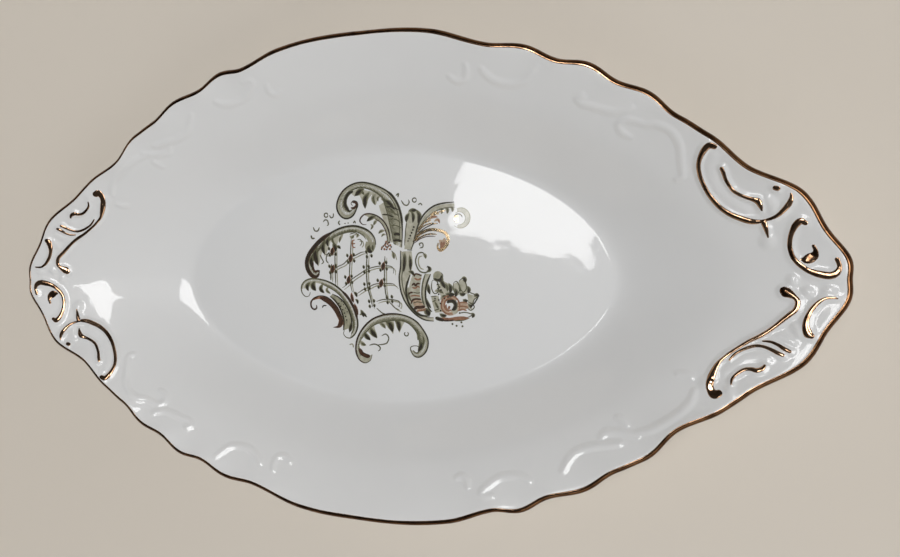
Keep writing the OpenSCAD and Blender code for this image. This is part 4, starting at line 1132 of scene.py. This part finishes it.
# Florets of four petals, the open ones around a leaf with a vein
PETAL = pairs([-0.2, 0.6, 0, 0, 0.1, -0.6])
PETAL_WIDTH = 0.8
PETAL_PLACES = pairs([-0.9, 0.7, 0.8, 0.9, -0.7, -0.9, 0.9, -0.6])
OPEN_SPREAD = 1.2
OPEN_LEAF = pairs([0.3, 1.3, 0, 0, -0.2, -1.3])
OPEN_LEAF_WIDTH = 1.2
OPEN_VEIN = pairs([-0.1, 0.9, 0, 0.4, -0.2, -0.3])
OPEN_VEIN_WIDTH = 0.5
CLOSED_SPREAD = 0.9


def path_share(line):
    """Share of the way along a line at each of its points."""
    run = np.concatenate([[0], np.cumsum(np.linalg.norm(np.diff(line, axis=0), axis=1))])
    return run / run[-1]


def along(drawn, count):
    """Points at even steps along a drawn line."""
    line = spline(pairs(drawn), LINE_STEPS)
    share = path_share(line)
    even = np.linspace(0, 1, count)
    return np.stack([np.interp(even, share, line[:, i]) for i in range(2)], -1)


class Print:
    """Patches of ink on the floor, each a thin closed slab."""

    patches = 0

    def __init__(self):
        self.points = []
        self.faces = []
        self.kinds = []

    def top(self, ink):
        """Height of the next patch. Patches of one ink differ by a hair, so none share a plane."""
        Print.patches += 1
        return FLOOR_TOP + INKS[ink][1] + INK_STEP * (Print.patches % INK_STEPS)

    def add(self, ink, points, faces):
        start = len(self.points)
        self.points += points.tolist()
        self.faces += [tuple(start + v for v in face) for face in faces]
        self.kinds += [INK_NAMES.index(ink)] * len(faces)

    def slab(self, ink, left, right):
        """Ink between two edges, named as seen along the way they run."""
        top = self.top(ink)
        low = FLOOR_TOP - INK_ROOT
        edges = ((left, top), (right, top), (right, low), (left, low))
        corners = np.stack([with_height(plan, z) for plan, z in edges], axis=1)
        self.add(ink, corners.reshape(-1, 3), tube_faces(len(left), len(edges), False))

    def stroke(self, ink, width, line, shape):
        heading = tangents(line)
        side = np.stack([-heading[:, 1], heading[:, 0]], -1)
        reach = side * np.maximum(width * shape, INK_LEAST)[:, None] / 2
        self.slab(ink, line + reach, line - reach)

    def brush(self, ink, width, drawn):
        """Line that thins at both ends."""
        line = spline(pairs(drawn), LINE_STEPS)
        share = path_share(line)
        shape = np.minimum(1, LINE_TIP + LINE_TAPER * np.minimum(share, 1 - share))
        if ink == "dark" and width > HEAVY_LINE:
            self.stroke("green", width * HEAVY_HALO, line, shape)
            width = width * HEAVY_CORE
        self.stroke(ink, width, line, shape)

    def leaf(self, ink, width, drawn):
        """Lobe that grows darker from its root to its tip."""
        whole = spline(pairs(drawn), LEAF_STEPS)
        for layer, (wide, root) in zip((*UNDER_LEAF[ink], ink), LEAF_LAYERS):
            line = whole[int(root * len(whole)):]
            self.stroke(layer, width * wide, line, np.sin(np.pi * path_share(line)) ** LEAF_POWER)

    def wash(self, ink, outer, inner, start=0, end=1):
        first = along(outer, WASH_STEPS)
        across = along(inner, WASH_STEPS) - first
        left = first + across * start
        right = first + across * end
        heading = tangents(left)
        turn = np.sum(heading[:, 0] * across[:, 1] - heading[:, 1] * across[:, 0])
        if turn * (end - start) > 0:
            left, right = right, left
        self.slab(ink, left, right)

    def hatch(self, ink, width, outer, inner, count, start, end):
        first = along(outer, count)
        across = along(inner, count) - first
        for i in range(count):
            length = HATCH_LEAST + HATCH_STEP * ((i * HATCH_STRIDE) % HATCH_LENGTHS)
            reach = start + (end - start) * length
            tips = first[i] + across[i] * start, first[i] + across[i] * reach
            line = np.linspace(*tips, len(HATCH_SHAPE))
            self.stroke(ink, width, line, HATCH_SHAPE)

    def dot(self, ink, width, x, y):
        plan = np.stack([x + width / 2 * np.cos(DOT_TURNS), y + width / 2 * np.sin(DOT_TURNS)], -1)
        levels = [with_height(plan, FLOOR_TOP - INK_ROOT), with_height(plan, self.top(ink))]
        self.add(ink, np.vstack(levels), tube_faces(2, len(plan), False))

    def petals(self, place, spread):
        for offset in PETAL_PLACES:
            self.leaf("dark", PETAL_WIDTH, place + spread * offset + PETAL)

    def floret(self, place):
        self.leaf("brown", OPEN_LEAF_WIDTH, place + OPEN_LEAF)
        self.brush("dark", OPEN_VEIN_WIDTH, place + OPEN_VEIN)
        self.petals(place, OPEN_SPREAD)


def floor_print(
    name, slot, node, washes=(), hatching=(), lines=(), leaves=(), dots=(), florets=(), buds=(),
):
    """One piece of the print, from its washes to its florets."""
    sheet = Print()
    for wash in washes:
        sheet.wash(*wash)
    for hatch in hatching:
        sheet.hatch(*hatch)
    for draw, rows in ((sheet.brush, lines), (sheet.leaf, leaves)):
        for ink, width, *strokes in rows:
            for drawn in strokes:
                draw(ink, width, drawn)
    for ink, width, places in dots:
        for x, y in pairs(places):
            sheet.dot(ink, width, x, y)
    for place in pairs(florets):
        sheet.floret(place)
    for place in pairs(buds):
        sheet.petals(place, CLOSED_SPREAD)
    materials = [material for material, _ in INKS.values()]
    piece = new_piece(name, sheet.points, sheet.faces, materials, sheet.kinds, smooth=False)
    dress(piece, slot, node)


floor_print(
    "printed_scrolls", "print_olive", "print_scrolls",
    SCROLL_WASHES, SCROLL_HATCHING, SCROLL_LINES, SCROLL_LEAVES, SCROLL_DOTS,
)
floor_print(
    "printed_trellis", "print_olive", "print_trellis",
    lines=TRELLIS_ECHO + TRELLIS_LINES, leaves=TRELLIS_LEAVES, dots=TRELLIS_DOTS,
    florets=OPEN_FLORETS, buds=CLOSED_FLORETS,
)
floor_print(
    "printed_plumes", "gold", "print_plumes",
    washes=PLUME_WASHES, lines=PLUME_LINES, leaves=PLUME_LEAVES, dots=PLUME_DOTS,
)
floor_print(
    "printed_crescent", "print_brown", "print_crescent",
    lines=CRESCENT_LINES, leaves=CRESCENT_LEAVES,
)
floor_print(
    "printed_basket", "print_brown", "print_basket",
    washes=BASKET_WASHES, lines=BASKET_LINES, leaves=BASKET_LEAVES,
)
floor_print(
    "printed_bouquet", "print_brown", "print_bouquet",
    washes=BOUQUET_WASHES, lines=BOUQUET_LINES, leaves=BOUQUET_LEAVES, dots=BOUQUET_DOTS,
)


# Stage, light and camera

STAGE_DISC = 400
STAGE_FLOOR = 1100
STAGE_COVE = 500
STAGE_HEIGHT = 900
STAGE_SIDES = 96
COVE_ANGLES = range(10, 91, 10)


def stage_paint(name):
    paint = Paint(name)
    cloud = paint.noise(scale=6.0, detail=3.0)
    paint.ramp(cloud, "Base Color", (0.3, (0.69, 0.635, 0.56)), (0.7, (0.71, 0.655, 0.58)))
    paint.inputs["Roughness"].default_value = 0.8
    return paint.material


def pale_stage():
    """Flat floor that curves up into a low wall all round."""
    material = stage_paint("pale_stage")
    profile = [(STAGE_DISC, 0), (STAGE_FLOOR, 0)]
    for angle in COVE_ANGLES:
        a = math.radians(angle)
        profile.append((STAGE_FLOOR + STAGE_COVE * math.sin(a), STAGE_COVE - STAGE_COVE * math.cos(a)))
    profile.append((STAGE_FLOOR + STAGE_COVE, STAGE_HEIGHT))
    points = []
    for radius, z in profile:
        for i in range(STAGE_SIDES):
            a = 2 * math.pi * i / STAGE_SIDES
            points.append((radius * math.cos(a), radius * math.sin(a), z))
    faces = [tuple(range(STAGE_SIDES))]
    for r in range(len(profile) - 1):
        faces += ring_faces(r * STAGE_SIDES, (r + 1) * STAGE_SIDES, STAGE_SIDES)
    new_piece("stage", points, faces, [material])


def softbox(name, place, aim, width, depth, radiance, roll=0.0):
    light = bpy.data.lights.new(name, "AREA")
    light.shape = "RECTANGLE"
    light.size = width
    light.size_y = depth
    light.energy = radiance * math.pi * width * depth
    lamp = bpy.data.objects.new(name, light)
    heading = (Vector(aim) - Vector(place)).to_track_quat("-Z", "Y").to_matrix().to_4x4()
    lamp.matrix_world = Matrix.Translation(place) @ heading @ Matrix.Rotation(math.radians(roll), 4, "Z")
    lamp.visible_camera = False
    bpy.context.scene.collection.objects.link(lamp)


def studio_light():
    """Dim room that grows lighter to the right, and three soft lamps."""
    world = bpy.data.worlds.new("studio")
    bpy.context.scene.world = world
    world.use_nodes = True
    tree = world.node_tree
    coords = tree.nodes.new("ShaderNodeTexCoord")
    parts = tree.nodes.new("ShaderNodeSeparateXYZ")
    tree.links.new(coords.outputs["Generated"], parts.inputs["Vector"])
    across = tree.nodes.new("ShaderNodeMapRange")
    across.inputs["From Min"].default_value = -1.0
    tree.links.new(parts.outputs["X"], across.inputs["Value"])
    ramp(
        tree, across.outputs["Result"], tree.nodes["Background"].inputs["Color"],
        (0.1, grey(0.03)), (0.5, grey(0.08)), (0.95, grey(0.24)),
    )
    above = (-0.894, 0.929)
    softbox("top_light", (*above, 6), (*above, 0), width=1.42, depth=1.8, radiance=8.9, roll=-15.6)
    softbox("key_light", (0.9, 0.1, 2), (0, 0, 0), width=1.0, depth=0.9, radiance=7.3)
    softbox("fill_light", (0.5, -1.4, 1.1), (0, 0, 0), width=1.0, depth=0.8, radiance=1.4)


def photo_camera():
    right = Vector((0.9556, -0.0146, -0.2941))
    up = Vector((0.0025, 0.9991, -0.0416))
    ahead = Vector((-0.2944, -0.0391, -0.9549))
    place = Vector((0.07326, 0.0067, 0.18066))
    data = bpy.data.cameras.new("camera")
    data.sensor_fit = "HORIZONTAL"
    data.sensor_width = 36.0
    data.lens = 26.0
    data.clip_start = 0.01
    camera = bpy.data.objects.new("camera", data)
    columns = (right, up, -ahead, place)
    camera.matrix_world = Matrix([[c[i] for c in columns] for i in range(3)] + [[0, 0, 0, 1]])
    bpy.context.scene.collection.objects.link(camera)
    bpy.context.scene.camera = camera


pale_stage()
studio_light()
photo_camera()
bpy.context.scene.view_settings.view_transform = "Standard"
